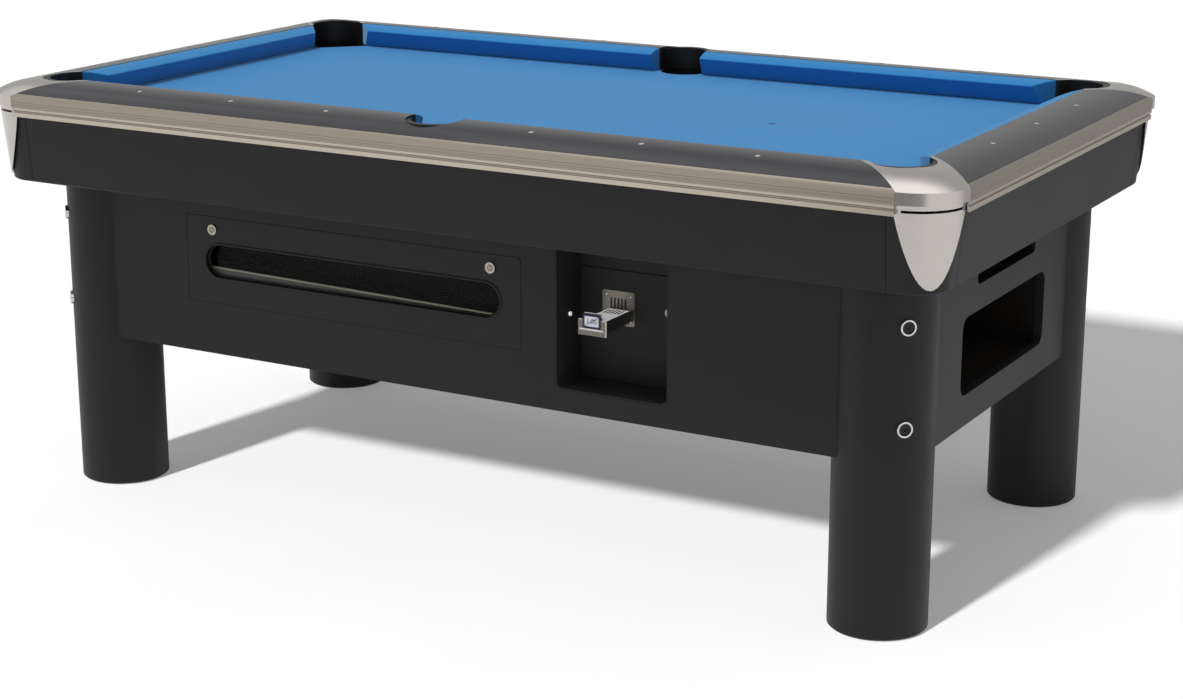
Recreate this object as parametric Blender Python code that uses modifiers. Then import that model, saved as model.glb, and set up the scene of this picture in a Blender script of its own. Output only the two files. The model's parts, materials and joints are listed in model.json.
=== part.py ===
"""Coin-operated pool table with a ball door, a push coin chute and a foot-end ball return.

Metres, +Z up. The origin is on the floor under the middle of the bed, +X runs along the
table to its foot end, and the front, with the ball door and the coin recess, faces -Y.
"""

from math import cos, hypot, pi, radians, sin, sqrt

import bmesh
import bpy
from mathutils import Matrix

# Playing surface
PLAY_LENGTH = 1.778  # cushion nose to cushion nose
PLAY_WIDTH = 0.889
BED_HEIGHT = 0.800  # top of the cloth above the floor
CLOTH_THICKNESS = 0.0012
SLATE_THICKNESS = 0.022
SLATE_MARGIN = 0.055  # slate beyond the noses, under the rails
BALL_DIAMETER = 0.05715

# Cushions, rails and trim: widths run outwards from the cushion nose, rises up from the bed
CUSHION_WIDTH = 0.037
CUSHION_FOOT = 0.018  # how far the underside is cut back behind the nose
NOSE_RISE = 0.0365
NOSE_DEPTH = 0.005  # height of the rounded nose
SEAM_RISE = 0.049  # where the cushion cloth meets the rail
CUSHION_CROWN = 0.0015
RIM_WIDTH = 0.147  # nose to the outer face of the trim
CROWN_DROP = 0.024  # fall of the rail top from the seam to the trim
CROWN_POWER = 2.6
RAIL_SINK = 0.014  # underside of the rail below the bed, outside the slate
TRIM_THICKNESS = 0.008
TRIM_BAND = 0.0195  # height of the wide upper band
TRIM_LINE = 0.0025  # narrow groove between the band and the bead
TRIM_LINE_DEPTH = 0.0015
TRIM_BEAD = 0.0065
TRIM_GROOVE = 0.004
TRIM_GROOVE_DEPTH = 0.003
TRIM_LIP = 0.0085
TRIM_ROUND = 0.0015

# Pockets
CORNER_POCKET_OUT = 0.0135  # pocket centre outside each nose line
CORNER_POCKET_RADIUS = 0.0555
CORNER_NOSE_CUT = 0.0865  # cushion nose stops this far short of the corner
CORNER_SEAM_CUT = 0.0455  # and the cushion's seam this far
SIDE_POCKET_OUT = 0.052
SIDE_POCKET_RADIUS = 0.054
SIDE_NOSE_HALF = 0.059  # half the side pocket's mouth between the noses
SIDE_SEAM_HALF = 0.0555
LINER_WALL = 0.004
LINER_DROP = 0.110  # underside of the pocket liners below the bed
LINER_TOP_SINK = 0.004  # rim of a side liner below the rail's top
CORNER_RIM_SINK = 0.0012  # rim of a corner liner, flush with its casting
LINER_RIM = 0.014  # width of the rim at the back of the pocket
LINER_RIM_SHIFT = 0.012
LINER_CLEARANCE = 0.003  # round a side liner in the cabinet's panel
SPOUT_CLEARANCE = 0.009  # spout wider than a ball
SPOUT_LIP = 0.025
SPOUT_TURN = 18.0  # degrees that a corner spout turns towards the ball run
CORNER_SPOUT_LENGTH = 0.182
SIDE_SPOUT_LENGTH = 0.096

# Corner castings and aprons
CORNER_RADIUS = 0.093  # plan radius of the trim's outer corner
BAND_HEIGHT = 0.0215
NECK_HEIGHT = 0.0095  # set back under the band, down to the slit
SLIT_HEIGHT = 0.0045
SLIT_END_ANGLE = 5.0  # degrees of the bend left at each end of the slit
TONGUE_LENGTH = 0.1315
TONGUE_THICKNESS = 0.004
TONGUE_RUN = 0.0065  # straight reach past the bend at the tongue's top
TONGUE_TAPER = 1.1
APRON_HEIGHT = 0.137
APRON_THICKNESS = 0.015
APRON_TOP_INSET = 0.014  # apron face behind the trim's face
APRON_BOTTOM_INSET = 0.027
APRON_BEVEL = 0.003
APRON_CORNER_RUN = 0.021  # straight length of a corner piece before its bend

# Cabinet: drops are measured down from the bed
END_PANEL_OUT = 0.0396  # end panel's face outside the nose line
SIDE_PANEL_OUT = 0.0275
PANEL_THICKNESS = 0.018
CABINET_DROP = 0.480
FLOOR_RISE = 0.010
FLOOR_THICKNESS = 0.015

# Legs
LEG_RADIUS = 0.0898
LEG_INSET = 0.0682  # leg centre behind both cabinet faces
LEG_TOP_DROP = 0.132
LEG_BEVEL = 0.003
FOOT_LIFT = 0.002  # leg above the floor, standing on its leveller
FOOT_RADIUS = 0.030
FOOT_THICKNESS = 0.010
FOOT_CLEARANCE = 0.0015
STEM_RADIUS = 0.008
STEM_LENGTH = 0.070

# Ball door and window
DOOR_LEFT_MARGIN = 0.1596  # leg to door
DOOR_TOP_DROP = 0.199
DOOR_HEIGHT = 0.176
DOOR_THICKNESS = 0.016
DOOR_CORNER = 0.007
DOOR_GAP = 0.0009
HINGE_GAP = 0.0004
WINDOW_END_INSET = 0.0445
WINDOW_SILL = 0.0516
WINDOW_HEIGHT = 0.0704
WINDOW_OVERLAP = 0.009
WINDOW_THICKNESS = 0.003
LOCK_END_INSET = 0.0655
LOCK_DROP = 0.0265  # lock axis below the door's upper edge
LOCK_HEAD_RADIUS = 0.0105
LOCK_HEAD_HEIGHT = 0.003
LOCK_BARREL_RADIUS = 0.008
CAM_REACH = 0.034
CAM_WIDTH = 0.014
CAM_THICKNESS = 0.003

# Coin recess and coin chute
DOOR_TO_RECESS = 0.075
RECESS_RIGHT_MARGIN = 0.3016
RECESS_TOP_DROP = 0.168
RECESS_HEIGHT = 0.267
RECESS_DEPTH = 0.0905
RECESS_CORNER = 0.012
RECESS_WIDTH = 0.228
RECESS_WALL = 0.003
CHUTE_LEFT_INSET = 0.0815  # chute centre from the recess's left wall
CHUTE_DROP = 0.2935
CHUTE_WIDTH = 0.068
CHUTE_HEIGHT = 0.065
CHUTE_PLATE = 0.004
CHUTE_CORNER = 0.004
CHUTE_BODY_MARGIN = 0.004  # chute body inside its plate's edge
CHUTE_BODY_LENGTH = 0.110
SLIDE_DROP = 0.3085
SLIDE_WIDTH = 0.044
SLIDE_THICKNESS = 0.0235
SLIDE_TRAVEL = 0.065
SLIDE_OUT = 0.1015  # front of the slide before the back of the recess
SLIDE_PLATE_WIDTH = 0.057
SLIDE_PLATE_HEIGHT = 0.029
SLIDE_PLATE_THICKNESS = 0.004
LABEL_WIDTH = 0.034  # holder for the price label, on top of the slide's front
LABEL_HEIGHT = 0.0125
SLIDE_CLEARANCE = 0.0005
COIN_DROP = 0.030  # hole under the chute for the coins
COIN_LOCK_RIGHT_INSET = 0.040
COIN_LOCK_DROP = 0.2905
CASH_BOX_LENGTH = 0.165
CASH_BOX_HEIGHT = 0.095
CASH_BOX_MARGIN = 0.020  # narrower than the recess on each side
CASH_BOX_WALL = 0.002

# Ball return inside the cabinet
RUN_WIDTH = 0.120
RUN_HEIGHT = 0.034
RUN_WALL = 0.008
RUN_FLOOR = 0.006
RUN_FALL = 0.015  # from the foot end to the head end
RUN_UNDER_SPOUT = 0.0015
RUN_LEG_CLEARANCE = 0.005
DROP_CLEARANCE = 0.0055  # round a ball in the hole down to the tray
TRAY_CLEARANCE = 0.021  # tray wider than a ball, walls included
TRAY_FRONT_CLEARANCE = 0.011  # tray behind the panel's inner face
TRAY_FLOOR_DROP = 0.338
TRAY_LIP = 0.016
TRAY_FALL = 0.0195  # over the tray's length, towards the foot end
TRAY_BACK_HEIGHT = 0.080
TRAY_WALL = 0.005
TRAY_TAIL = 0.340  # length of the arm that leads the balls back from the window
TRAY_FOOT = 0.030  # length of the end blocks fixed to the panel
GATE_THICKNESS = 0.004
GATE_ROD_RADIUS = 0.003
GATE_SETBACK = 0.012
GATE_CLEARANCE = 0.003
RETURN_TOP_DROP = 0.275
RETURN_HEIGHT = 0.146
RETURN_WIDTH = 0.434
RETURN_CORNER = 0.0225
RETURN_DEPTH = 0.200
RETURN_WALL = 0.008
RETURN_CHUTE_FALL = 0.021
RETURN_CHUTE_HEIGHT = 0.045
RETURN_SINK = 0.004  # box floor below the opening's lower edge
SLOT_TOP_DROP = 0.200
SLOT_HEIGHT = 0.026
SLOT_WIDTH = 0.304
SLOT_CORNER = 0.0125

# Fits and facets
FIT_GAP = 0.0003  # between pieces that rest on each other
TURNING_GAP = 0.0001  # round a barrel or a stem in its hole
JOINT_GAP = 0.0005  # between pieces that are butted end to end
CUT_OVERRUN = 0.010  # how far a cutter passes the face it cuts
ROUND_STEPS = 48
CROWN_STEPS = 9
CORNER_STEPS = 12
TONGUE_ROWS = 10

# Places worked out from the sizes
HALF_LENGTH = PLAY_LENGTH / 2
HALF_WIDTH = PLAY_WIDTH / 2
RAIL_TOP = BED_HEIGHT + SEAM_RISE
EDGE_HEIGHT = RAIL_TOP - CROWN_DROP
RAIL_BOTTOM = BED_HEIGHT - RAIL_SINK
SLATE_TOP = BED_HEIGHT - CLOTH_THICKNESS - FIT_GAP
SLATE_BOTTOM = SLATE_TOP - SLATE_THICKNESS
BAND_BOTTOM = EDGE_HEIGHT - BAND_HEIGHT
TONGUE_TOP = BAND_BOTTOM - NECK_HEIGHT - SLIT_HEIGHT
APRON_TOP = RAIL_BOTTOM - FIT_GAP
APRON_BOTTOM = APRON_TOP - APRON_HEIGHT
LINER_BOTTOM = BED_HEIGHT - LINER_DROP
LINER_FLOOR = LINER_BOTTOM + LINER_WALL
CABINET_X = HALF_LENGTH + END_PANEL_OUT
CABINET_Y = HALF_WIDTH + SIDE_PANEL_OUT
CABINET_BOTTOM = BED_HEIGHT - CABINET_DROP
PANEL_TOP = SLATE_BOTTOM - FIT_GAP
PANEL_INNER_X = CABINET_X - PANEL_THICKNESS
PANEL_INNER_Y = CABINET_Y - PANEL_THICKNESS
FLOOR_BOTTOM = CABINET_BOTTOM + FLOOR_RISE
FLOOR_TOP = FLOOR_BOTTOM + FLOOR_THICKNESS
LEG_X = CABINET_X - LEG_INSET
LEG_Y = CABINET_Y - LEG_INSET
LEG_TOP = BED_HEIGHT - LEG_TOP_DROP
CLEAR_X = LEG_X - LEG_RADIUS  # half the clear length between the legs
RECESS_RIGHT = CLEAR_X - RECESS_RIGHT_MARGIN
RECESS_LEFT = RECESS_RIGHT - RECESS_WIDTH
RECESS_TOP = BED_HEIGHT - RECESS_TOP_DROP
RECESS_BOTTOM = RECESS_TOP - RECESS_HEIGHT
RECESS_BACK = -CABINET_Y + RECESS_DEPTH
DOOR_LEFT = -CLEAR_X + DOOR_LEFT_MARGIN
DOOR_RIGHT = RECESS_LEFT - DOOR_TO_RECESS
DOOR_TOP = BED_HEIGHT - DOOR_TOP_DROP
DOOR_BOTTOM = DOOR_TOP - DOOR_HEIGHT
LOCK_Z = DOOR_TOP - LOCK_DROP
CHUTE_X = RECESS_LEFT + CHUTE_LEFT_INSET
CHUTE_Z = BED_HEIGHT - CHUTE_DROP
SLIDE_Z = BED_HEIGHT - SLIDE_DROP
SPOUT_WIDTH = BALL_DIAMETER + SPOUT_CLEARANCE
TRAY_DEPTH = BALL_DIAMETER + TRAY_CLEARANCE
TRAY_FLOOR = BED_HEIGHT - TRAY_FLOOR_DROP
TRAY_FRONT = -PANEL_INNER_Y + TRAY_FRONT_CLEARANCE
TRAY_BACK = TRAY_FRONT + TRAY_DEPTH
TRAY_RIGHT = RECESS_LEFT - RECESS_WALL - JOINT_GAP
TRAY_END = TRAY_FRONT + TRAY_TAIL
RUN_X = CLEAR_X - RUN_LEG_CLEARANCE
RETURN_TOP = BED_HEIGHT - RETURN_TOP_DROP
RETURN_BOTTOM = RETURN_TOP - RETURN_HEIGHT
RETURN_BACK = PANEL_INNER_X - RETURN_DEPTH

SIDES = {"back": 0, "head": 90, "front": 180, "foot": 270}  # degrees that each side is turned
CORNERS = {
    "back_right": (1, 1, 0),
    "back_left": (-1, 1, 90),
    "front_left": (-1, -1, 180),
    "front_right": (1, -1, 270),
}

# Local x, y and z to +Y, +Z and +X for bars along the back, and to +X, +Z and -Y for the front
ALONG_BACK = Matrix(((0, 0, 1, 0), (1, 0, 0, 0), (0, 1, 0, 0), (0, 0, 0, 1)))
FACING_FRONT = Matrix.Rotation(pi / 2, 4, "X")

for old in list(bpy.data.objects):
    bpy.data.objects.remove(old, do_unlink=True)
table = bpy.data.collections.new("pool_table")
cutters = bpy.data.collections.new("pool_table_cutters")
bpy.context.scene.collection.children.link(table)
bpy.context.scene.collection.children.link(cutters)


def finish(name, colour, roughness, metallic=0.0):
    """A plain surface: its colour is linear RGB."""
    material = bpy.data.materials.new(name)
    material.use_nodes = True
    shader = material.node_tree.nodes["Principled BSDF"]
    shader.inputs["Base Color"].default_value = (*colour, 1.0)
    shader.inputs["Roughness"].default_value = roughness
    shader.inputs["Metallic"].default_value = metallic
    return material


SLATE = finish("slate", (0.10, 0.11, 0.12), 0.8)
BLUE_CLOTH = finish("blue_cloth", (0.09, 0.28, 0.53), 0.9)
RAIL_LAMINATE = finish("rail_laminate", (0.08, 0.08, 0.085), 0.45)
CHAMPAGNE = finish("champagne_aluminium", (0.55, 0.51, 0.44), 0.35, 1.0)
SATIN_METAL = finish("satin_metal", (0.60, 0.58, 0.55), 0.3, 1.0)
BLACK_RUBBER = finish("black_rubber", (0.012, 0.012, 0.013), 0.6)
BLACK_LAMINATE = finish("black_laminate", (0.03, 0.03, 0.031), 0.5)
PLYWOOD = finish("plywood", (0.20, 0.14, 0.08), 0.7)
BLACK_STEEL = finish("black_steel", (0.02, 0.02, 0.02), 0.4)
CHROME = finish("chrome", (0.75, 0.75, 0.76), 0.12, 1.0)
CLEAR_PLASTIC = finish("clear_plastic", (0.25, 0.25, 0.26), 0.1)
ZINC = finish("zinc_plate", (0.45, 0.45, 0.46), 0.4, 1.0)


def add(name, mesh, surface=None, matrix=None):
    """A part with its surface, or a hidden cutter where no surface is given."""
    item = bpy.data.objects.new(name, mesh)
    if surface:
        mesh.materials.append(surface)
        table.objects.link(item)
    else:
        item.hide_render = True
        item.display_type = "WIRE"
        cutters.objects.link(item)
    if matrix:
        item.matrix_world = matrix
    return item


def add_shape(name, shape, surface=None, matrix=None):
    """The finished bmesh as an object, smooth but for its sharp edges."""
    bmesh.ops.recalc_face_normals(shape, faces=shape.faces)
    mesh = bpy.data.meshes.new(name)
    shape.to_mesh(mesh)
    shape.free()
    mesh.shade_smooth()
    mesh.set_sharp_from_angle(angle=radians(30))
    return add(name, mesh, surface, matrix)


def prism(name, outline, low, high, surface=None, matrix=None, ends=None):
    """A flat outline extruded from low to high along its local z.

    Where its ends slant, ends gives the low and the high end at a local x.
    """
    curve = bpy.data.curves.new(name, "CURVE")
    curve.dimensions = "2D"
    curve.fill_mode = "BOTH"
    curve.extrude = (high - low) / 2
    spline = curve.splines.new("POLY")
    spline.points.add(len(outline) - 1)
    for point, (x, y) in zip(spline.points, outline):
        point.co = (x, y, 0, 1)
    spline.use_cyclic_u = True
    guide = bpy.data.objects.new(name + "_outline", curve)
    cutters.objects.link(guide)
    graph = bpy.context.evaluated_depsgraph_get()
    mesh = bpy.data.meshes.new_from_object(guide.evaluated_get(graph))
    bpy.data.objects.remove(guide)
    shape = bmesh.new()
    shape.from_mesh(mesh)
    bmesh.ops.remove_doubles(shape, verts=shape.verts, dist=1e-6)
    middle = (low + high) / 2
    for vert in shape.verts:
        is_high = vert.co.z > 0
        vert.co.z += middle
        if ends:
            vert.co.z = ends(vert.co.x)[is_high]
    return add_shape(name, shape, surface, matrix)


def block(name, x, y, z, surface=None, matrix=None):
    """A box between the low and high ends given on each axis."""
    shape = bmesh.new()
    size = Matrix.Diagonal((x[1] - x[0], y[1] - y[0], z[1] - z[0], 1))
    centre = Matrix.Translation([sum(ends) / 2 for ends in (x, y, z)])
    bmesh.ops.create_cube(shape, size=1, matrix=centre @ size)
    return add_shape(name, shape, surface, matrix)


def drum(name, radius, low, high, surface=None, matrix=None):
    """An upright cylinder on its local z axis."""
    shape = bmesh.new()
    middle = Matrix.Translation((0, 0, (low + high) / 2))
    bmesh.ops.create_cone(
        shape,
        cap_ends=True,
        segments=ROUND_STEPS,
        radius1=radius,
        radius2=radius,
        depth=high - low,
        matrix=middle,
    )
    return add_shape(name, shape, surface, matrix)


def turned(name, profile, surface, matrix, steps=ROUND_STEPS):
    """A profile of (radius, height) points, from the top centre to the bottom centre, turned."""
    outline = bpy.data.meshes.new(name + "_profile")
    points = [(radius, 0, height) for radius, height in profile]
    outline.from_pydata(points, [(i, i + 1) for i in range(len(points) - 1)], [])
    guide = add(name + "_profile", outline)
    screw = guide.modifiers.new("turn", "SCREW")
    screw.steps = screw.render_steps = steps
    screw.use_merge_vertices = True
    screw.merge_threshold = 1e-5
    graph = bpy.context.evaluated_depsgraph_get()
    shape = bmesh.new()
    shape.from_mesh(bpy.data.meshes.new_from_object(guide.evaluated_get(graph)))
    bpy.data.objects.remove(guide)
    return add_shape(name, shape, surface, matrix)


def boolean(item, other, operation):
    step = item.modifiers.new(other.name, "BOOLEAN")
    step.operation = operation
    step.solver = "EXACT"
    step.object = other


def cut(item, *others):
    for other in others:
        boolean(item, other, "DIFFERENCE")


def join(item, *others):
    for other in others:
        boolean(item, other, "UNION")


def rounded_rectangle(x, y, radius, steps=6):
    """A rectangle between two ends on each axis, with its corners as arcs."""
    points = []
    centres = (
        (x[1] - radius, y[1] - radius),
        (x[0] + radius, y[1] - radius),
        (x[0] + radius, y[0] + radius),
        (x[1] - radius, y[0] + radius),
    )
    for quarter, (across, up) in enumerate(centres):
        for step in range(steps + 1):
            angle = (quarter + step / steps) * pi / 2
            points.append((across + radius * cos(angle), up + radius * sin(angle)))
    return points


def grown(ends, by):
    return (ends[0] - by, ends[1] + by)


def crown(out):
    """Height of the rail's convex top at a distance out from the cushion nose."""
    share = (out - CUSHION_WIDTH) / (RIM_WIDTH - CUSHION_WIDTH)
    return RAIL_TOP - CROWN_DROP * max(share, 0) ** CROWN_POWER


def side_matrix(side):
    return Matrix.Rotation(radians(SIDES[side]), 4, "Z") @ ALONG_BACK


def side_reach(side):
    """The nose line's distance from the middle, and half the nose line's own length."""
    if side in ("front", "back"):
        return HALF_WIDTH, HALF_LENGTH
    return HALF_LENGTH, HALF_WIDTH


def side_bar(name, side, section, ends, surface):
    """A bar along one side: section is (out, height) points, ends(out, half) its two ends."""
    reach, half = side_reach(side)
    outline = [(reach + out, height) for out, height in section]
    return prism(
        name,
        outline,
        -half,
        half,
        surface,
        side_matrix(side),
        ends=lambda x: ends(x - reach, half),
    )


def corner_matrix(corner):
    """The centre of the round corner, turned so that the corner lies between +x and +y."""
    sign_x, sign_y, turn = CORNERS[corner]
    x = sign_x * (HALF_LENGTH + RIM_WIDTH - CORNER_RADIUS)
    y = sign_y * (HALF_WIDTH + RIM_WIDTH - CORNER_RADIUS)
    return Matrix.Translation((x, y, 0)) @ Matrix.Rotation(radians(turn), 4, "Z")


def pocket_matrix(pocket):
    """The pocket's centre on the floor, with its local +x pointing away from the table."""
    row, place = pocket.split("_")
    if place == "middle":
        sign = 1 if row == "back" else -1
        x, y, turn = 0, sign * (HALF_WIDTH + SIDE_POCKET_OUT), sign * 90
    else:
        sign_x, sign_y, turn = CORNERS[pocket]
        x = sign_x * (HALF_LENGTH + CORNER_POCKET_OUT)
        y = sign_y * (HALF_WIDTH + CORNER_POCKET_OUT)
        turn += 45
    return Matrix.Translation((x, y, 0)) @ Matrix.Rotation(radians(turn), 4, "Z")


def is_corner(pocket):
    return pocket in CORNERS


def pocket_radius(pocket):
    return CORNER_POCKET_RADIUS if is_corner(pocket) else SIDE_POCKET_RADIUS


def liner_outline(radius, straight):
    """Plan of a pocket liner: round, or round behind and straight-sided in front."""
    turns = ROUND_STEPS // 2 if straight else ROUND_STEPS - 1
    angles = [2 * pi * step / ROUND_STEPS - pi / 2 for step in range(turns + 1)]
    points = [(radius * cos(angle), radius * sin(angle)) for angle in angles]
    if straight:
        points += [(-radius, radius), (-radius, -radius)]
    return points


POCKETS = [f"{row}_{place}" for row in ("front", "back") for place in ("left", "middle", "right")]
pocket_holes = {
    pocket: prism(
        "pocket_hole_" + pocket,
        liner_outline(pocket_radius(pocket), is_corner(pocket)),
        LINER_BOTTOM - CUT_OVERRUN,
        RAIL_TOP + CUT_OVERRUN,
        matrix=pocket_matrix(pocket),
    )
    for pocket in POCKETS
}
side_holes = [pocket_holes["front_middle"], pocket_holes["back_middle"]]


# Slate and cloth: straight across the corner pockets, round at the side pockets
def bed_plate(name, low, high, surface):
    edge_x = HALF_LENGTH + SLATE_MARGIN
    edge_y = HALF_WIDTH + SLATE_MARGIN
    pocket_front = sqrt(2) * (CORNER_POCKET_RADIUS + JOINT_GAP)
    cut_off = 2 * (SLATE_MARGIN - CORNER_POCKET_OUT) + pocket_front
    outline = [
        (edge_x, edge_y - cut_off),
        (edge_x - cut_off, edge_y),
        (-edge_x + cut_off, edge_y),
        (-edge_x, edge_y - cut_off),
        (-edge_x, -edge_y + cut_off),
        (-edge_x + cut_off, -edge_y),
        (edge_x - cut_off, -edge_y),
        (edge_x, -edge_y + cut_off),
    ]
    plate = prism(name, outline, low, high, surface)
    cut(plate, *side_holes)


bed_plate("slate_bed", SLATE_BOTTOM, SLATE_TOP, SLATE)
bed_plate("bed_cloth", SLATE_TOP + FIT_GAP, BED_HEIGHT, BLUE_CLOTH)


# Cushions: a rubber nose bar under cloth, cut back below, glued to the rail
def cushion_section():
    back = CUSHION_WIDTH - FIT_GAP
    foot = BED_HEIGHT + FIT_GAP
    nose = BED_HEIGHT + NOSE_RISE
    half_nose = NOSE_DEPTH / 2
    seam = RAIL_TOP - FIT_GAP
    shoulder = nose + half_nose
    points = [(back, foot), (CUSHION_FOOT, foot), (half_nose, nose - half_nose)]
    points += [(half_nose * 0.2, nose), (half_nose, shoulder)]
    for share in (0.3, 0.6, 1.0):
        out = half_nose + share * (back - half_nose)
        rise = shoulder + share * (seam - shoulder)
        points.append((out, rise + CUSHION_CROWN * sin(pi * share)))
    return points


def corner_end(out, half):
    share = out / CUSHION_WIDTH
    return half - CORNER_NOSE_CUT + share * (CORNER_NOSE_CUT - CORNER_SEAM_CUT)


def side_end(out):
    return SIDE_NOSE_HALF + out / CUSHION_WIDTH * (SIDE_SEAM_HALF - SIDE_NOSE_HALF)


def end_cushion(out, half):
    return -corner_end(out, half), corner_end(out, half)


def cushion_before_pocket(out, half):
    return -corner_end(out, half), -side_end(out)


def cushion_after_pocket(out, half):
    return side_end(out), corner_end(out, half)


LONG_CUSHIONS = {
    "cushion_front_left": ("front", cushion_after_pocket),
    "cushion_front_right": ("front", cushion_before_pocket),
    "cushion_back_left": ("back", cushion_before_pocket),
    "cushion_back_right": ("back", cushion_after_pocket),
}
for name, (side, ends) in LONG_CUSHIONS.items():
    side_bar(name, side, cushion_section(), ends, BLUE_CLOTH)
for side in ("head", "foot"):
    side_bar("cushion_" + side, side, cushion_section(), end_cushion, BLUE_CLOTH)


# Rails and trim: both end on the slanting sides of the corner castings
def casting_side(out, half):
    end = half - CORNER_RADIUS + out - JOINT_GAP
    return -end, end


def rail_section():
    outer = RIM_WIDTH - TRIM_THICKNESS - FIT_GAP
    step = SLATE_MARGIN + JOINT_GAP
    points = [
        (CUSHION_WIDTH, BED_HEIGHT + FIT_GAP),
        (step, BED_HEIGHT + FIT_GAP),
        (step, RAIL_BOTTOM),
        (outer, RAIL_BOTTOM),
    ]
    for count in range(CROWN_STEPS + 1):
        out = outer + count / CROWN_STEPS * (CUSHION_WIDTH - outer)
        points.append((out, crown(out)))
    return points


def trim_section():
    inner = RIM_WIDTH - TRIM_THICKNESS
    line = RIM_WIDTH - TRIM_LINE_DEPTH
    bead = RIM_WIDTH - TRIM_LINE_DEPTH / 3
    groove = RIM_WIDTH - TRIM_GROOVE_DEPTH
    lip = RIM_WIDTH - TRIM_GROOVE_DEPTH / 3
    band_end = EDGE_HEIGHT - TRIM_BAND
    bead_top = band_end - TRIM_LINE
    bead_end = bead_top - TRIM_BEAD
    lip_top = bead_end - TRIM_GROOVE
    lip_end = lip_top - TRIM_LIP
    return [
        (inner, crown(inner)),
        (inner, lip_end),
        (lip, lip_end),
        (lip, lip_top),
        (groove, lip_top + TRIM_ROUND / 2),
        (groove, bead_end - TRIM_ROUND / 2),
        (line, bead_end),
        (bead, bead_end + TRIM_ROUND),
        (bead, bead_top - TRIM_ROUND),
        (line, bead_top),
        (line, band_end - TRIM_ROUND / 2),
        (RIM_WIDTH, band_end),
        (RIM_WIDTH, EDGE_HEIGHT - TRIM_ROUND),
        (RIM_WIDTH - TRIM_ROUND, crown(RIM_WIDTH - TRIM_ROUND)),
    ]


for side in SIDES:
    rail = side_bar("rail_" + side, side, rail_section(), casting_side, RAIL_LAMINATE)
    if side in ("front", "back"):
        cut(rail, pocket_holes[side + "_middle"])
    side_bar("trim_" + side, side, trim_section(), casting_side, CHAMPAGNE)


# Aprons: plain boards that lean in towards the bottom, with a rounded piece at each corner
def apron_section(face):
    """Points of the apron, where face is the distance out of the trim's outer face."""
    top, bottom = face - APRON_TOP_INSET, face - APRON_BOTTOM_INSET
    return [
        (top - APRON_THICKNESS, APRON_TOP),
        (bottom - APRON_THICKNESS, APRON_BOTTOM),
        (bottom - APRON_BEVEL, APRON_BOTTOM),
        (bottom, APRON_BOTTOM + APRON_BEVEL),
        (top, APRON_TOP),
    ]


def apron_end(out, half):
    end = half + RIM_WIDTH - CORNER_RADIUS - APRON_CORNER_RUN - JOINT_GAP
    return -end, end


for side in SIDES:
    side_bar("apron_" + side, side, apron_section(RIM_WIDTH), apron_end, BLACK_LAMINATE)

def moved_edges(shape, edges, step):
    """Extrudes a loop of edges by a step, and gives the new loop."""
    made = bmesh.ops.extrude_edge_only(shape, edges=edges)["geom"]
    verts = [item for item in made if isinstance(item, bmesh.types.BMVert)]
    bmesh.ops.translate(shape, verts=verts, vec=step)
    return [item for item in made if isinstance(item, bmesh.types.BMEdge)]


for corner in CORNERS:
    shape = bmesh.new()
    section = apron_section(CORNER_RADIUS)
    ring = [shape.verts.new((radius, -APRON_CORNER_RUN, z)) for radius, z in section]
    loop = [shape.edges.new((ring[i - 1], ring[i])) for i in range(len(ring))]
    loop = moved_edges(shape, loop, (0, APRON_CORNER_RUN, 0))
    bend = bmesh.ops.spin(
        shape, geom=loop, cent=(0, 0, 0), axis=(0, 0, 1), angle=pi / 2, steps=CORNER_STEPS
    )
    loop = [item for item in bend["geom_last"] if isinstance(item, bmesh.types.BMEdge)]
    moved_edges(shape, loop, (-APRON_CORNER_RUN, 0, 0))
    bmesh.ops.holes_fill(shape, edges=shape.edges)
    add_shape("apron_corner_" + corner, shape, BLACK_LAMINATE, corner_matrix(corner))


# Corner castings: a cap that carries the rail's crown round the corner, and a drop tongue
def edge_distance(x, y):
    """How far a point of the corner's own frame lies inside the round outer edge."""
    if x > 0 and y > 0:
        return CORNER_RADIUS - hypot(x, y)
    return CORNER_RADIUS - max(x, y)


def casting_cap(name, corner):
    half = CORNER_RADIUS / sqrt(2)
    seam = RIM_WIDTH - CORNER_RADIUS - CUSHION_WIDTH  # cushion seam inside the corner's centre
    shape = bmesh.new()
    bmesh.ops.create_grid(shape, x_segments=CORNER_STEPS, y_segments=CROWN_STEPS, size=1)
    top = list(shape.faces)
    for vert in shape.verts:
        across = vert.co.x * half
        outer = sqrt(CORNER_RADIUS**2 - across**2)
        inner = -seam * sqrt(2) - abs(across)
        along = inner + (vert.co.y + 1) / 2 * (outer - inner)
        x, y = (along - across) / sqrt(2), (along + across) / sqrt(2)
        vert.co = (x, y, crown(RIM_WIDTH - edge_distance(x, y)))
    lower = bmesh.ops.extrude_face_region(shape, geom=top)["geom"]
    for item in lower:
        if isinstance(item, bmesh.types.BMVert):
            item.co.z = BAND_BOTTOM
    return add_shape(name, shape, SATIN_METAL, corner_matrix(corner))


def tongue_radius(height):
    """Inner radius of the tongue, which follows the apron corner's slope."""
    share = (APRON_TOP - height) / APRON_HEIGHT
    inset = APRON_TOP_INSET + share * (APRON_BOTTOM_INSET - APRON_TOP_INSET)
    return CORNER_RADIUS - inset + JOINT_GAP


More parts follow.
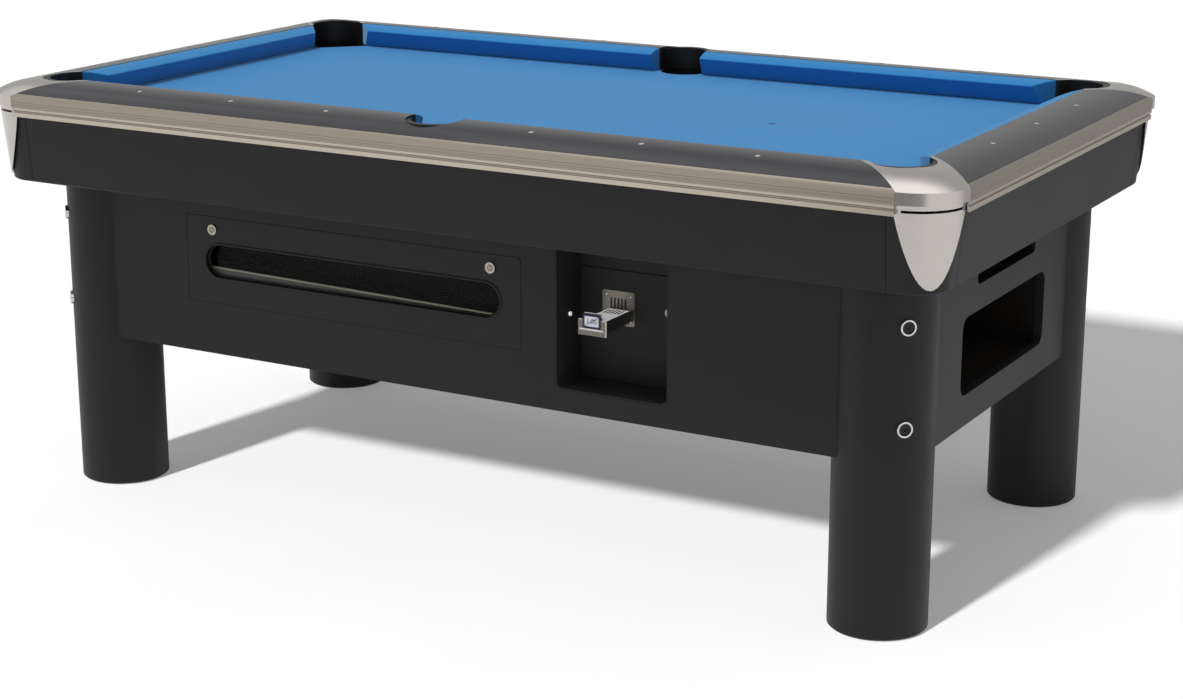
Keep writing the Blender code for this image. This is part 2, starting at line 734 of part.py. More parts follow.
def casting_tongue(name, corner):
    """A thin curved plate that narrows to a round tip, standing just off the apron corner."""
    shape = bmesh.new()
    rows = TONGUE_ROWS + 1  # the first row is the neck above the slit
    bmesh.ops.create_grid(shape, x_segments=CORNER_STEPS, y_segments=rows, size=1)
    swept = bmesh.ops.extrude_face_region(shape, geom=list(shape.faces))["geom"]
    inside = {item for item in swept if isinstance(item, bmesh.types.BMVert)}
    for vert in shape.verts:
        row = round((1 - vert.co.y) / 2 * rows) - 1
        share = 1 - (1 - max(row, 0) / TONGUE_ROWS) ** 2
        height = TONGUE_TOP - share * TONGUE_LENGTH
        if row < 0:
            height = BAND_BOTTOM + TRIM_ROUND
        radius = tongue_radius(height)
        bend = radius * pi / 4
        reach = vert.co.x * (bend + TONGUE_RUN) * sqrt(1 - share**TONGUE_TAPER)
        angle = pi / 4 + max(-bend, min(reach, bend)) / radius
        if vert not in inside:
            radius += TONGUE_THICKNESS
        x = radius * cos(angle) - max(reach - bend, 0)
        y = radius * sin(angle) - max(-reach - bend, 0)
        vert.co = (x, y, height)
    bmesh.ops.remove_doubles(shape, verts=shape.verts, dist=1e-6)
    return add_shape(name, shape, None, corner_matrix(corner))


def slit_cutter(name, corner):
    first, last = radians(SLIT_END_ANGLE), radians(90 - SLIT_END_ANGLE)
    angles = [first + step / CORNER_STEPS * (last - first) for step in range(CORNER_STEPS + 1)]
    outer = CORNER_RADIUS + CUT_OVERRUN
    inner = tongue_radius(BAND_BOTTOM) - CUT_OVERRUN
    outline = [(outer * cos(angle), outer * sin(angle)) for angle in angles]
    outline += [(inner * cos(angle), inner * sin(angle)) for angle in reversed(angles)]
    high = BAND_BOTTOM - NECK_HEIGHT
    return prism(name, outline, TONGUE_TOP, high, matrix=corner_matrix(corner))


for corner in CORNERS:
    name = "corner_casting_" + corner
    casting = casting_cap(name, corner)
    cut(casting, pocket_holes[corner])
    join(casting, casting_tongue(name + "_tongue", corner))
    cut(casting, slit_cutter(name + "_slit", corner))


# Pocket liners: a rim behind the pocket, a cup under it and a spout to the ball run
for pocket in POCKETS:
    name = "pocket_liner_" + pocket
    matrix = pocket_matrix(pocket)
    radius = pocket_radius(pocket) - FIT_GAP
    mouth = BED_HEIGHT - JOINT_GAP
    rim = RAIL_TOP - (CORNER_RIM_SINK if is_corner(pocket) else LINER_TOP_SINK)
    half = SPOUT_WIDTH / 2
    length, turn = SIDE_SPOUT_LENGTH, 0
    if is_corner(pocket):
        sign_x, sign_y, _ = CORNERS[pocket]
        length, turn = CORNER_SPOUT_LENGTH, -sign_x * sign_y * SPOUT_TURN
    heading = matrix @ Matrix.Rotation(radians(turn), 4, "Z")
    outline = liner_outline(radius, is_corner(pocket))
    liner = prism(name, outline, LINER_BOTTOM, rim, BLACK_RUBBER, matrix)
    spout = block(
        name + "_spout",
        (-length, -radius / 2),
        grown((-half, half), LINER_WALL),
        (LINER_BOTTOM + FIT_GAP, LINER_FLOOR + SPOUT_LIP),
        matrix=heading,
    )
    channel = block(
        name + "_channel",
        (-length - CUT_OVERRUN, 0),
        (-half, half),
        (LINER_FLOOR, LINER_FLOOR + SPOUT_WIDTH),
        matrix=heading,
    )
    bore = liner_outline(radius - LINER_WALL, is_corner(pocket))
    cup = prism(name + "_cup", bore, LINER_FLOOR, mouth + JOINT_GAP, matrix=matrix)
    front = block(
        name + "_front",
        (-radius - CUT_OVERRUN, 0),
        grown((-radius, radius), CUT_OVERRUN),
        (mouth, rim + CUT_OVERRUN),
        matrix=matrix,
    )
    throat = drum(
        name + "_throat",
        radius - LINER_RIM + LINER_RIM_SHIFT,
        mouth + FIT_GAP,
        rim + CUT_OVERRUN,
        matrix=matrix @ Matrix.Translation((-LINER_RIM_SHIFT, 0, 0)),
    )
    join(liner, spout)
    cut(liner, channel, cup, front, throat)


# Legs and levellers
foot_pocket = FOOT_THICKNESS + FIT_GAP
stem_hole = STEM_RADIUS + TURNING_GAP
LEG_PROFILE = [
    (0, LEG_TOP),
    (LEG_RADIUS - LEG_BEVEL, LEG_TOP),
    (LEG_RADIUS, LEG_TOP - LEG_BEVEL),
    (LEG_RADIUS, FOOT_LIFT + LEG_BEVEL),
    (LEG_RADIUS - LEG_BEVEL, FOOT_LIFT),
    (FOOT_RADIUS + FOOT_CLEARANCE, FOOT_LIFT),
    (FOOT_RADIUS + FOOT_CLEARANCE, foot_pocket),
    (stem_hole, foot_pocket),
    (stem_hole, foot_pocket + STEM_LENGTH),
    (0, foot_pocket + STEM_LENGTH),
]
LEVELLER_PROFILE = [
    (0, FOOT_THICKNESS + STEM_LENGTH - FIT_GAP),
    (STEM_RADIUS, FOOT_THICKNESS + STEM_LENGTH - FIT_GAP),
    (STEM_RADIUS, FOOT_THICKNESS),
    (FOOT_RADIUS, FOOT_THICKNESS),
    (FOOT_RADIUS, 0),
    (0, 0),
]
leg_holes = {}
for corner, (sign_x, sign_y, _) in CORNERS.items():
    matrix = Matrix.Translation((sign_x * LEG_X, sign_y * LEG_Y, 0))
    turned("leg_" + corner, LEG_PROFILE, BLACK_LAMINATE, matrix)
    turned("leveller_" + corner, LEVELLER_PROFILE, ZINC, matrix)
    leg_holes[corner] = drum(
        "leg_hole_" + corner, LEG_RADIUS + FIT_GAP, 0, BED_HEIGHT, matrix=matrix
    )


# Cabinet: panels that end against the round legs, and a floor between them
panel_z = (CABINET_BOTTOM, PANEL_TOP)
liner_notch_z = (LINER_BOTTOM - LINER_CLEARANCE, PANEL_TOP + CUT_OVERRUN)
liner_notch = SIDE_POCKET_RADIUS + LINER_CLEARANCE
for side, sign in (("front", -1), ("back", 1)):
    faces = sorted((sign * PANEL_INNER_Y, sign * CABINET_Y))
    panel = block("cabinet_" + side, (-LEG_X, LEG_X), faces, panel_z, BLACK_LAMINATE)
    notch = block(
        "liner_notch_" + side,
        (-liner_notch, liner_notch),
        grown(faces, CUT_OVERRUN),
        liner_notch_z,
    )
    cut(panel, leg_holes[side + "_left"], leg_holes[side + "_right"], notch)
for side, place, sign in (("head", "left", -1), ("foot", "right", 1)):
    faces = sorted((sign * PANEL_INNER_X, sign * CABINET_X))
    panel = block("cabinet_" + side, faces, (-LEG_Y, LEG_Y), panel_z, BLACK_LAMINATE)
    cut(panel, leg_holes["front_" + place], leg_holes["back_" + place])
cabinet_front = table.objects["cabinet_front"]
cabinet_foot = table.objects["cabinet_foot"]

floor_x = PANEL_INNER_X - FIT_GAP
floor_y = PANEL_INNER_Y - FIT_GAP
cabinet_floor = block(
    "cabinet_floor",
    (-floor_x, floor_x),
    (-floor_y, floor_y),
    (FLOOR_BOTTOM, FLOOR_TOP),
    PLYWOOD,
)
cut(cabinet_floor, *leg_holes.values())


# Ball door: hinged along its lower edge, with a long window and two cam locks
door_x = grown((DOOR_LEFT, DOOR_RIGHT), -DOOR_GAP)
door_z = (DOOR_BOTTOM + HINGE_GAP, DOOR_TOP - DOOR_GAP)
door_opening = prism(
    "door_opening",
    rounded_rectangle((DOOR_LEFT, DOOR_RIGHT), (DOOR_BOTTOM, DOOR_TOP), DOOR_CORNER),
    PANEL_INNER_Y - CUT_OVERRUN,
    CABINET_Y + CUT_OVERRUN,
    matrix=FACING_FRONT,
)
cut(cabinet_front, door_opening)
door_back = -CABINET_Y + DOOR_THICKNESS
ball_door = prism(
    "ball_door",
    rounded_rectangle(door_x, door_z, DOOR_CORNER),
    -door_back,
    CABINET_Y,
    BLACK_LAMINATE,
    FACING_FRONT,
)


def stadium(name, margin, faces, surface=None):
    """The window's outline with its round ends, grown by a margin, between two faces in y."""
    across = grown((DOOR_LEFT + WINDOW_END_INSET, DOOR_RIGHT - WINDOW_END_INSET), margin)
    bottom = DOOR_BOTTOM + WINDOW_SILL
    up = grown((bottom, bottom + WINDOW_HEIGHT), margin)
    outline = rounded_rectangle(across, up, WINDOW_HEIGHT / 2 + margin, CORNER_STEPS)
    return prism(name, outline, -faces[1], -faces[0], surface, FACING_FRONT)


window_front = door_back + FIT_GAP
cut(ball_door, stadium("window_opening", 0, grown((-CABINET_Y, door_back), CUT_OVERRUN)))
window_faces = (window_front, window_front + WINDOW_THICKNESS)
stadium("ball_window", WINDOW_OVERLAP, window_faces, CLEAR_PLASTIC)


def cam_lock(name, x, face, z, depth, holder):
    """A lock through a plate that faces -Y at y = face, its cam a given depth behind the face."""
    matrix = Matrix.Translation((x, face, z)) @ FACING_FRONT
    profile = [
        (0, LOCK_HEAD_HEIGHT),
        (LOCK_HEAD_RADIUS, LOCK_HEAD_HEIGHT),
        (LOCK_HEAD_RADIUS, FIT_GAP),
        (LOCK_BARREL_RADIUS, FIT_GAP),
        (LOCK_BARREL_RADIUS, -depth - CAM_THICKNESS / 2),
        (0, -depth - CAM_THICKNESS / 2),
    ]
    lock = turned(name, profile, CHROME, matrix, ROUND_STEPS // 2)
    cam = block(
        name + "_cam",
        (-CAM_WIDTH / 2, CAM_REACH),
        (-CAM_WIDTH / 2, CAM_WIDTH / 2),
        (-depth - CAM_THICKNESS, -depth),
        matrix=matrix,
    )
    join(lock, cam)
    hole = LOCK_BARREL_RADIUS + TURNING_GAP
    cut(holder, drum(name + "_hole", hole, -depth, LOCK_HEAD_HEIGHT, matrix=matrix))


door_cam_depth = PANEL_THICKNESS + JOINT_GAP
for name, x in (
    ("door_lock_left", DOOR_LEFT + LOCK_END_INSET),
    ("door_lock_right", DOOR_RIGHT - LOCK_END_INSET),
):
    cam_lock(name, x, -CABINET_Y, LOCK_Z, door_cam_depth, ball_door)


# Coin recess: a steel tub let into the front, with the coin chute on its back
recess_x = (RECESS_LEFT, RECESS_RIGHT)
recess_z = (RECESS_BOTTOM, RECESS_TOP)


def recess_prism(name, margin, low, high, surface=None):
    """The recess's outline grown by a margin, from low to high towards -Y."""
    outline = rounded_rectangle(
        grown(recess_x, margin), grown(recess_z, margin), RECESS_CORNER + margin
    )
    return prism(name, outline, low, high, surface, FACING_FRONT)


tub_back = -RECESS_BACK - RECESS_WALL
tub_opening = recess_prism(
    "recess_opening",
    RECESS_WALL + FIT_GAP,
    PANEL_INNER_Y - CUT_OVERRUN,
    CABINET_Y + CUT_OVERRUN,
)
cut(cabinet_front, tub_opening)
coin_recess = recess_prism("coin_recess", RECESS_WALL, tub_back, CABINET_Y, BLACK_STEEL)
cut(coin_recess, recess_prism("recess_inside", 0, -RECESS_BACK, CABINET_Y + CUT_OVERRUN))

plate_x = (CHUTE_X - CHUTE_WIDTH / 2, CHUTE_X + CHUTE_WIDTH / 2)
plate_z = (CHUTE_Z - CHUTE_HEIGHT / 2, CHUTE_Z + CHUTE_HEIGHT / 2)
body_x = grown(plate_x, -CHUTE_BODY_MARGIN)
body_z = grown(plate_z, -CHUTE_BODY_MARGIN)
body_end = RECESS_BACK + CHUTE_BODY_LENGTH
plate_front = RECESS_BACK - FIT_GAP - CHUTE_PLATE
chute_hole = block(
    "chute_hole",
    grown(body_x, FIT_GAP),
    grown((RECESS_BACK, RECESS_BACK + RECESS_WALL), CUT_OVERRUN),
    grown(body_z, FIT_GAP),
)
cut(coin_recess, chute_hole)
plate_outline = rounded_rectangle(plate_x, plate_z, CHUTE_CORNER)
coin_chute = prism(
    "coin_chute",
    plate_outline,
    -RECESS_BACK + FIT_GAP,
    -plate_front,
    CHROME,
    FACING_FRONT,
)
chute_body = block("chute_body", body_x, (plate_front + CHUTE_PLATE / 2, body_end), body_z)
slide_x = (CHUTE_X - SLIDE_WIDTH / 2, CHUTE_X + SLIDE_WIDTH / 2)
slide_z = (SLIDE_Z - SLIDE_THICKNESS / 2, SLIDE_Z + SLIDE_THICKNESS / 2)
slide_hole = block(
    "slide_hole",
    grown(slide_x, SLIDE_CLEARANCE),
    grown((plate_front, body_end), CUT_OVERRUN),
    grown(slide_z, SLIDE_CLEARANCE),
)
coin_drop = block(
    "coin_drop",
    (CHUTE_X - COIN_DROP / 2, CHUTE_X + COIN_DROP / 2),
    (body_end - 2 * COIN_DROP, body_end - COIN_DROP),
    (body_z[0] - CUT_OVERRUN, SLIDE_Z),
)
join(coin_chute, chute_body)
cut(coin_chute, slide_hole, coin_drop)

slide_front = RECESS_BACK - SLIDE_OUT
slide_tail = body_end - SLIDE_TRAVEL - JOINT_GAP
coin_slide = block("coin_slide", slide_x, (slide_front, slide_tail), slide_z, CHROME)
slide_plate = block(
    "slide_plate",
    (CHUTE_X - SLIDE_PLATE_WIDTH / 2, CHUTE_X + SLIDE_PLATE_WIDTH / 2),
    (slide_front - SLIDE_PLATE_THICKNESS / 2, slide_front + SLIDE_PLATE_THICKNESS / 2),
    (SLIDE_Z - SLIDE_PLATE_HEIGHT / 2, SLIDE_Z + SLIDE_PLATE_HEIGHT / 2),
)
label_holder = block(
    "label_holder",
    (CHUTE_X - LABEL_WIDTH / 2, CHUTE_X + LABEL_WIDTH / 2),
    (slide_front, slide_front + SLIDE_PLATE_THICKNESS),
    (SLIDE_Z, SLIDE_Z + SLIDE_PLATE_HEIGHT / 2 + LABEL_HEIGHT),
)
join(coin_slide, slide_plate, label_holder)

lock_x = RECESS_RIGHT - COIN_LOCK_RIGHT_INSET
lock_z = BED_HEIGHT - COIN_LOCK_DROP
cam_lock("coin_lock", lock_x, RECESS_BACK, lock_z, RECESS_WALL + JOINT_GAP, coin_recess)

box_x = grown(recess_x, -CASH_BOX_MARGIN)
box_front = RECESS_BACK + RECESS_WALL + CASH_BOX_MARGIN
box_y = (box_front, box_front + CASH_BOX_LENGTH)
box_bottom = FLOOR_TOP + FIT_GAP
cash_box = block("cash_box", box_x, box_y, (box_bottom, box_bottom + CASH_BOX_HEIGHT), ZINC)
cash_box_inside = block(
    "cash_box_inside",
    grown(box_x, -CASH_BOX_WALL),
    grown(box_y, -CASH_BOX_WALL),
    (box_bottom + CASH_BOX_WALL, box_bottom + CASH_BOX_HEIGHT + CUT_OVERRUN),
)
cut(cash_box, cash_box_inside)


# Ball run: a sloping trough along both sides and across the head end, under the spouts
def run_outline(inset):
    outer = PANEL_INNER_Y - FIT_GAP - inset
    inner = PANEL_INNER_Y - FIT_GAP - RUN_WIDTH + inset
    head, foot = -RUN_X + inset, RUN_X - inset
    cross = -RUN_X + RUN_WIDTH - inset
    return [
        (foot, -outer),
        (foot, -inner),
        (cross, -inner),
        (cross, inner),
        (foot, inner),
        (foot, outer),
        (head, outer),
        (head, -outer),
    ]


def sloping(low, high):
    """Ends of a trough that falls from the foot end to the head end."""

    def ends(x):
        fall = RUN_FALL * (RUN_X - x) / (2 * RUN_X)
        return low - fall, high - fall

    return ends


run_top = LINER_BOTTOM - RUN_UNDER_SPOUT
run_bottom = run_top - RUN_HEIGHT
ball_run = prism(
    "ball_run",
    run_outline(0),
    run_bottom,
    run_top,
    PLYWOOD,
    ends=sloping(run_bottom, run_top),
)
run_inside = prism(
    "run_inside",
    run_outline(RUN_WALL),
    run_bottom + RUN_FLOOR,
    run_top + CUT_OVERRUN,
    ends=sloping(run_bottom + RUN_FLOOR, run_top + CUT_OVERRUN),
)
drop_hole = drum(
    "drop_hole",
    BALL_DIAMETER / 2 + DROP_CLEARANCE,
    run_bottom - RUN_FALL - CUT_OVERRUN,
    run_top,
    matrix=Matrix.Translation((-RUN_X + RUN_WIDTH / 2, (TRAY_FRONT + TRAY_BACK) / 2, 0)),
)
cut(ball_run, run_inside, drop_hole)


# Ball tray: shows the balls behind the window, then leads them back to the gate
def tray_outline(inset, end):
    left, right = -RUN_X + RUN_WALL + inset, TRAY_RIGHT - inset
    front, back = TRAY_FRONT + inset, TRAY_BACK - inset
    arm = TRAY_RIGHT - TRAY_DEPTH + inset
    return [
        (left, front),
        (right, front),
        (right, end),
        (arm, end),
        (arm, back),
        (left, back),
    ]


def tray_rise(x):
    """How far the tray at x lies above its lower end."""
    return TRAY_FALL * (TRAY_RIGHT - x) / (TRAY_RIGHT + RUN_X)


def tray_prism(name, outline, low, high, surface=None):
    """A plan between two levels of the tray, which both rise towards the head end."""
    return prism(
        name,
        outline,
        low,
        high,
        surface,
        ends=lambda x: (low + tray_rise(x), high + tray_rise(x)),
    )


tray_top = TRAY_FLOOR + TRAY_BACK_HEIGHT
ball_tray = tray_prism("ball_tray", tray_outline(0, TRAY_END), TRAY_FLOOR, tray_top, PLYWOOD)
tray_inside = tray_prism(
    "tray_inside",
    tray_outline(TRAY_WALL, TRAY_END + CUT_OVERRUN),
    TRAY_FLOOR + TRAY_WALL,
    tray_top + CUT_OVERRUN,
)
view_front, view_back = TRAY_FRONT - CUT_OVERRUN, TRAY_FRONT + TRAY_WALL + JOINT_GAP
tray_view = tray_prism(
    "tray_view",
    [
        (DOOR_LEFT, view_front),
        (DOOR_RIGHT, view_front),
        (DOOR_RIGHT, view_back),
        (DOOR_LEFT, view_back),
    ],
    TRAY_FLOOR + TRAY_LIP,
    tray_top + CUT_OVERRUN,
)
cut(ball_tray, tray_inside, tray_view)
for place, x in (
    ("left", (DOOR_LEFT - 2 * TRAY_FOOT, DOOR_LEFT - TRAY_FOOT)),
    ("right", (DOOR_RIGHT + TRAY_FOOT / 2, DOOR_RIGHT + 3 * TRAY_FOOT / 2)),
):
    foot_level = TRAY_FLOOR + tray_rise(x[0])
    tray_foot = block(
        "tray_foot_" + place,
        x,
        (-PANEL_INNER_Y + FIT_GAP, TRAY_FRONT + TRAY_WALL / 2),
        (foot_level + JOINT_GAP, foot_level + TRAY_LIP),
    )
    join(ball_tray, tray_foot)


# Release gate: a plate that hangs from a rod across the tray's arm and holds the balls back
arm_x = (TRAY_RIGHT - TRAY_DEPTH, TRAY_RIGHT)
gate_y = TRAY_END - GATE_SETBACK
arm_rise = tray_rise(arm_x[0])
rod_z = tray_top + arm_rise + FIT_GAP + GATE_ROD_RADIUS
gate = block(
    "release_gate",
    grown(arm_x, -TRAY_WALL - GATE_CLEARANCE),
    (gate_y - GATE_THICKNESS / 2, gate_y + GATE_THICKNESS / 2),
    (TRAY_FLOOR + arm_rise + TRAY_WALL + GATE_CLEARANCE, rod_z),
    BLACK_STEEL,
)
gate_rod = drum(
    "gate_rod",
    GATE_ROD_RADIUS,
    *arm_x,
    matrix=Matrix.Translation((0, gate_y, rod_z)) @ Matrix.Rotation(pi / 2, 4, "Y"),
)
join(gate, gate_rod)


# Return box: a chute from the gate to an open box behind the foot end's opening
return_y = (-RETURN_WIDTH / 2, RETURN_WIDTH / 2)
return_z = (RETURN_BOTTOM, RETURN_TOP)
return_opening = prism(
    "return_opening",
    rounded_rectangle(return_y, return_z, RETURN_CORNER),
    PANEL_INNER_X - CUT_OVERRUN,
    CABINET_X + CUT_OVERRUN,
    matrix=ALONG_BACK,
)
slot_top = BED_HEIGHT - SLOT_TOP_DROP
slot = prism(
    "end_slot",
    rounded_rectangle(
        (-SLOT_WIDTH / 2, SLOT_WIDTH / 2), (slot_top - SLOT_HEIGHT, slot_top), SLOT_CORNER
    ),
    PANEL_INNER_X - CUT_OVERRUN,
    CABINET_X + CUT_OVERRUN,
    matrix=ALONG_BACK,
)
cut(cabinet_foot, return_opening, slot)

box_front = PANEL_INNER_X - FIT_GAP
box_floor = RETURN_BOTTOM - RETURN_SINK
return_box = block(
    "return_box",
    (RETURN_BACK, box_front),
    grown(return_y, RETURN_WALL),
    (box_floor - RETURN_WALL, RETURN_TOP),
    PLYWOOD,
)
box_inside = block(
    "return_box_inside",
    (RETURN_BACK + RETURN_WALL, box_front + CUT_OVERRUN),
    return_y,
    (box_floor, RETURN_TOP + CUT_OVERRUN),
)
chute_y = (TRAY_END + JOINT_GAP, TRAY_END + JOINT_GAP + TRAY_DEPTH)
chute_start = TRAY_FLOOR
chute_end = chute_start - RETURN_CHUTE_FALL
chute_top = chute_end + TRAY_WALL + RETURN_CHUTE_HEIGHT


def chute_profile(start, floor, end, top):
    """Side view of the chute, whose floor falls by the same amount along its whole length."""
    fall = RETURN_CHUTE_FALL / (RETURN_BACK - arm_x[0])
    return [
        (start, chute_start + floor - fall * (start - arm_x[0])),
        (end, chute_start + floor - fall * (end - arm_x[0])),
        (end, top),
        (start, top),
    ]


chute = prism(
    "return_chute",
    chute_profile(arm_x[0], 0, RETURN_BACK + RETURN_WALL / 2, chute_top),
    -chute_y[1],
    -chute_y[0],
    matrix=FACING_FRONT,
)
chute_inside = prism(
    "return_chute_inside",
    chute_profile(
        arm_x[0] + TRAY_WALL,
        TRAY_WALL,
        RETURN_BACK + RETURN_WALL + CUT_OVERRUN,
        chute_top + CUT_OVERRUN,
    ),
    -chute_y[1] + TRAY_WALL,
    -chute_y[0] - TRAY_WALL,
    matrix=FACING_FRONT,
)
chute_inlet = block(
    "return_chute_inlet",
    grown(arm_x, -TRAY_WALL),
    grown((chute_y[0], chute_y[0] + TRAY_WALL), CUT_OVERRUN),
    (chute_start + TRAY_WALL, chute_top + CUT_OVERRUN),
)
cut(return_box, box_inside)
join(return_box, chute)
cut(return_box, chute_inside, chute_inlet)
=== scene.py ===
"""The looks of a coin-operated pool table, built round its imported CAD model."""

import json
from math import atan2, pi, radians, sqrt

import bpy
from mathutils import Matrix, Vector

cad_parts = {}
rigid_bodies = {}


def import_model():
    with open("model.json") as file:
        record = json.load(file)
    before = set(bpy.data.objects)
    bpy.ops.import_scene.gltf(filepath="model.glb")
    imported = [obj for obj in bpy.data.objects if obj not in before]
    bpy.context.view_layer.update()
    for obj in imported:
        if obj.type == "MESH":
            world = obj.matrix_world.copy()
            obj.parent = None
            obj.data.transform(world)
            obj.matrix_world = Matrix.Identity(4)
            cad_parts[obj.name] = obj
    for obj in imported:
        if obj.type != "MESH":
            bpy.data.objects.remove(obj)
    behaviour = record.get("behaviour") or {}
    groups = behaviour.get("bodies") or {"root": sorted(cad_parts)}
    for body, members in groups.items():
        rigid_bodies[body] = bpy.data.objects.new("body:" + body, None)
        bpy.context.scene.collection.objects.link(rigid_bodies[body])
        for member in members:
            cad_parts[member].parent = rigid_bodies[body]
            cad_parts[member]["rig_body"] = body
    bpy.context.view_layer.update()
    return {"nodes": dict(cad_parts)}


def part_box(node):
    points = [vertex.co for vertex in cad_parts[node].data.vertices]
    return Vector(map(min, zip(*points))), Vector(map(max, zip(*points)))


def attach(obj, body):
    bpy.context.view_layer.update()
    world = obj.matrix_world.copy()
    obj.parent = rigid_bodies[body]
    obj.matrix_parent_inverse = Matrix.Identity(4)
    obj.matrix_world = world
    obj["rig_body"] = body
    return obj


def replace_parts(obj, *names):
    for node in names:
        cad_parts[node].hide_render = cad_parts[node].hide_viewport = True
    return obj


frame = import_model()

# Legs
# Four round posts wrapped in satin black laminate and cut square at the floor. Two bolts in chromed
# sleeves draw each one against a corner of the cabinet, and it stands on a zinc-plated levelling foot.


def linear(colour):
    """An sRGB hex colour as linear red, green, blue and alpha."""
    parts = [int(colour[i : i + 2], 16) / 255 for i in (1, 3, 5)]
    return [c / 12.92 if c <= 0.04045 else ((c + 0.055) / 1.055) ** 2.4 for c in parts] + [1.0]


def add_node(finish, kind, sockets=None, **settings):
    """A node of a finish with its settings, and with values or other nodes' outputs on its sockets."""
    tree = finish.node_tree
    present = [node for node in tree.nodes if node.bl_idname == kind]
    shared = kind in ("ShaderNodeBsdfPrincipled", "ShaderNodeBackground") or "Output" in kind
    node = present[0] if present and shared else tree.nodes.new(kind)
    for name, value in settings.items():
        setattr(node, name, value)
    for name, value in (sockets or {}).items():
        if isinstance(value, bpy.types.NodeSocket):
            tree.links.new(value, node.inputs[name])
        else:
            node.inputs[name].default_value = value
    return node


def new_finish(name):
    """A material with its shader, and the place on the object that its patterns are drawn by."""
    finish = bpy.data.materials.new(name)
    finish.use_nodes = True
    return finish, add_node(finish, "ShaderNodeTexCoord").outputs["Object"]


def flecked(name, colours, size, detail, sockets, relief=None):
    """A finish of two colours in patches of one size. A relief gives their strength and height."""
    finish, place = new_finish(name)
    fleck = add_node(finish, "ShaderNodeTexNoise", {"Vector": place, "Scale": 1 / size, "Detail": detail})
    tone = add_node(
        finish,
        "ShaderNodeMix",
        {0: fleck.outputs["Fac"], 6: linear(colours[0]), 7: linear(colours[1])},
        data_type="RGBA",
    )
    sockets = {"Base Color": tone.outputs[2], **sockets}
    if relief:
        skin = add_node(
            finish,
            "ShaderNodeBump",
            {"Height": fleck.outputs["Fac"], "Strength": relief[0], "Distance": relief[1]},
        )
        sockets["Normal"] = skin.outputs["Normal"]
    add_node(finish, "ShaderNodeBsdfPrincipled", sockets)
    return finish


def worn_metal(name, colour, size, detail, roughness, metallic=1.0):
    """A metal of one colour that wear has left rougher and smoother in patches of one size."""
    finish, place = new_finish(name)
    wear = add_node(finish, "ShaderNodeTexNoise", {"Vector": place, "Scale": 1 / size, "Detail": detail})
    gloss = add_node(
        finish,
        "ShaderNodeMapRange",
        {"Value": wear.outputs["Fac"], "To Min": roughness[0], "To Max": roughness[1]},
    )
    add_node(
        finish,
        "ShaderNodeBsdfPrincipled",
        {"Base Color": linear(colour), "Metallic": metallic, "Roughness": gloss.outputs["Result"]},
    )
    return finish


PEBBLE_SIZE = 0.0025  # as it is drawn
PEBBLE_HEIGHT = 0.0004


def pressed_laminate(name, colours, cloud_size, roughness, relief, sheen):
    """Laminate with a pebble pressed into it, clouded in colour and gloss."""
    finish, place = new_finish(name)
    pebble = add_node(
        finish, "ShaderNodeTexNoise", {"Vector": place, "Scale": 1 / PEBBLE_SIZE, "Detail": 3.0}
    )
    cloud = add_node(
        finish, "ShaderNodeTexNoise", {"Vector": place, "Scale": 1 / cloud_size, "Detail": 4.0}
    )
    tone = add_node(
        finish,
        "ShaderNodeMix",
        {0: cloud.outputs["Fac"], 6: linear(colours[0]), 7: linear(colours[1])},
        data_type="RGBA",
    )
    gloss = add_node(
        finish,
        "ShaderNodeMapRange",
        {"Value": cloud.outputs["Fac"], "To Min": roughness[0], "To Max": roughness[1]},
    )
    skin = add_node(
        finish,
        "ShaderNodeBump",
        {"Height": pebble.outputs["Fac"], "Strength": relief, "Distance": PEBBLE_HEIGHT},
    )
    add_node(
        finish,
        "ShaderNodeBsdfPrincipled",
        {
            "Base Color": tone.outputs[2],
            "Roughness": gloss.outputs["Result"],
            "Normal": skin.outputs["Normal"],
            "Specular IOR Level": sheen,
        },
    )
    return finish


def pick_up(piece):
    """Selects one piece alone, in object mode, so that the operators act on nothing else."""
    if bpy.context.mode != "OBJECT":
        bpy.ops.object.mode_set(mode="OBJECT")
    bpy.ops.object.select_all(action="DESELECT")
    piece.select_set(True)
    bpy.context.view_layer.objects.active = piece


def choose(piece, kind, test):
    """Selects the points, edges or faces whose middle and normal pass a test, in edit mode."""
    pick_up(piece)
    mesh = piece.data
    bpy.ops.object.mode_set(mode="EDIT")
    bpy.ops.mesh.select_mode(type=kind)
    bpy.ops.mesh.select_all(action="DESELECT")
    bpy.ops.object.mode_set(mode="OBJECT")
    if kind == "FACE":
        for face in mesh.polygons:
            face.select = test(face.center, face.normal)
    elif kind == "EDGE":
        for edge in mesh.edges:
            start, end = (mesh.vertices[index].co for index in edge.vertices)
            edge.select = test((start + end) / 2, (end - start).normalized())
    else:
        for point in mesh.vertices:
            point.select = test(point.co, point.normal)
    bpy.ops.object.mode_set(mode="EDIT")


def ease_edges(piece, width, steps=2):
    """Rounds the sharp edges of a piece and smooths its curved faces, keeping flat ones flat."""
    pick_up(piece)
    if piece.data.has_custom_normals:
        bpy.ops.mesh.customdata_custom_splitnormals_clear()
    if width:
        rounding = piece.modifiers.new("rounding", "BEVEL")
        rounding.width, rounding.segments = width, steps
        rounding.limit_method, rounding.angle_limit = "ANGLE", radians(40)
        bpy.ops.object.modifier_apply(modifier=rounding.name)
    bpy.ops.object.shade_smooth_by_angle(angle=radians(35))
    evening = piece.modifiers.new("evening", "WEIGHTED_NORMAL")
    evening.keep_sharp = True
    bpy.ops.object.modifier_apply(modifier=evening.name)


def cut_away(piece, cutter):
    """Cuts the shape of a cutter out of a piece."""
    pick_up(piece)
    cut = piece.modifiers.new("cut", "BOOLEAN")
    cut.solver, cut.object = "EXACT", cutter
    bpy.ops.object.modifier_apply(modifier=cut.name)
    bpy.data.objects.remove(cutter)


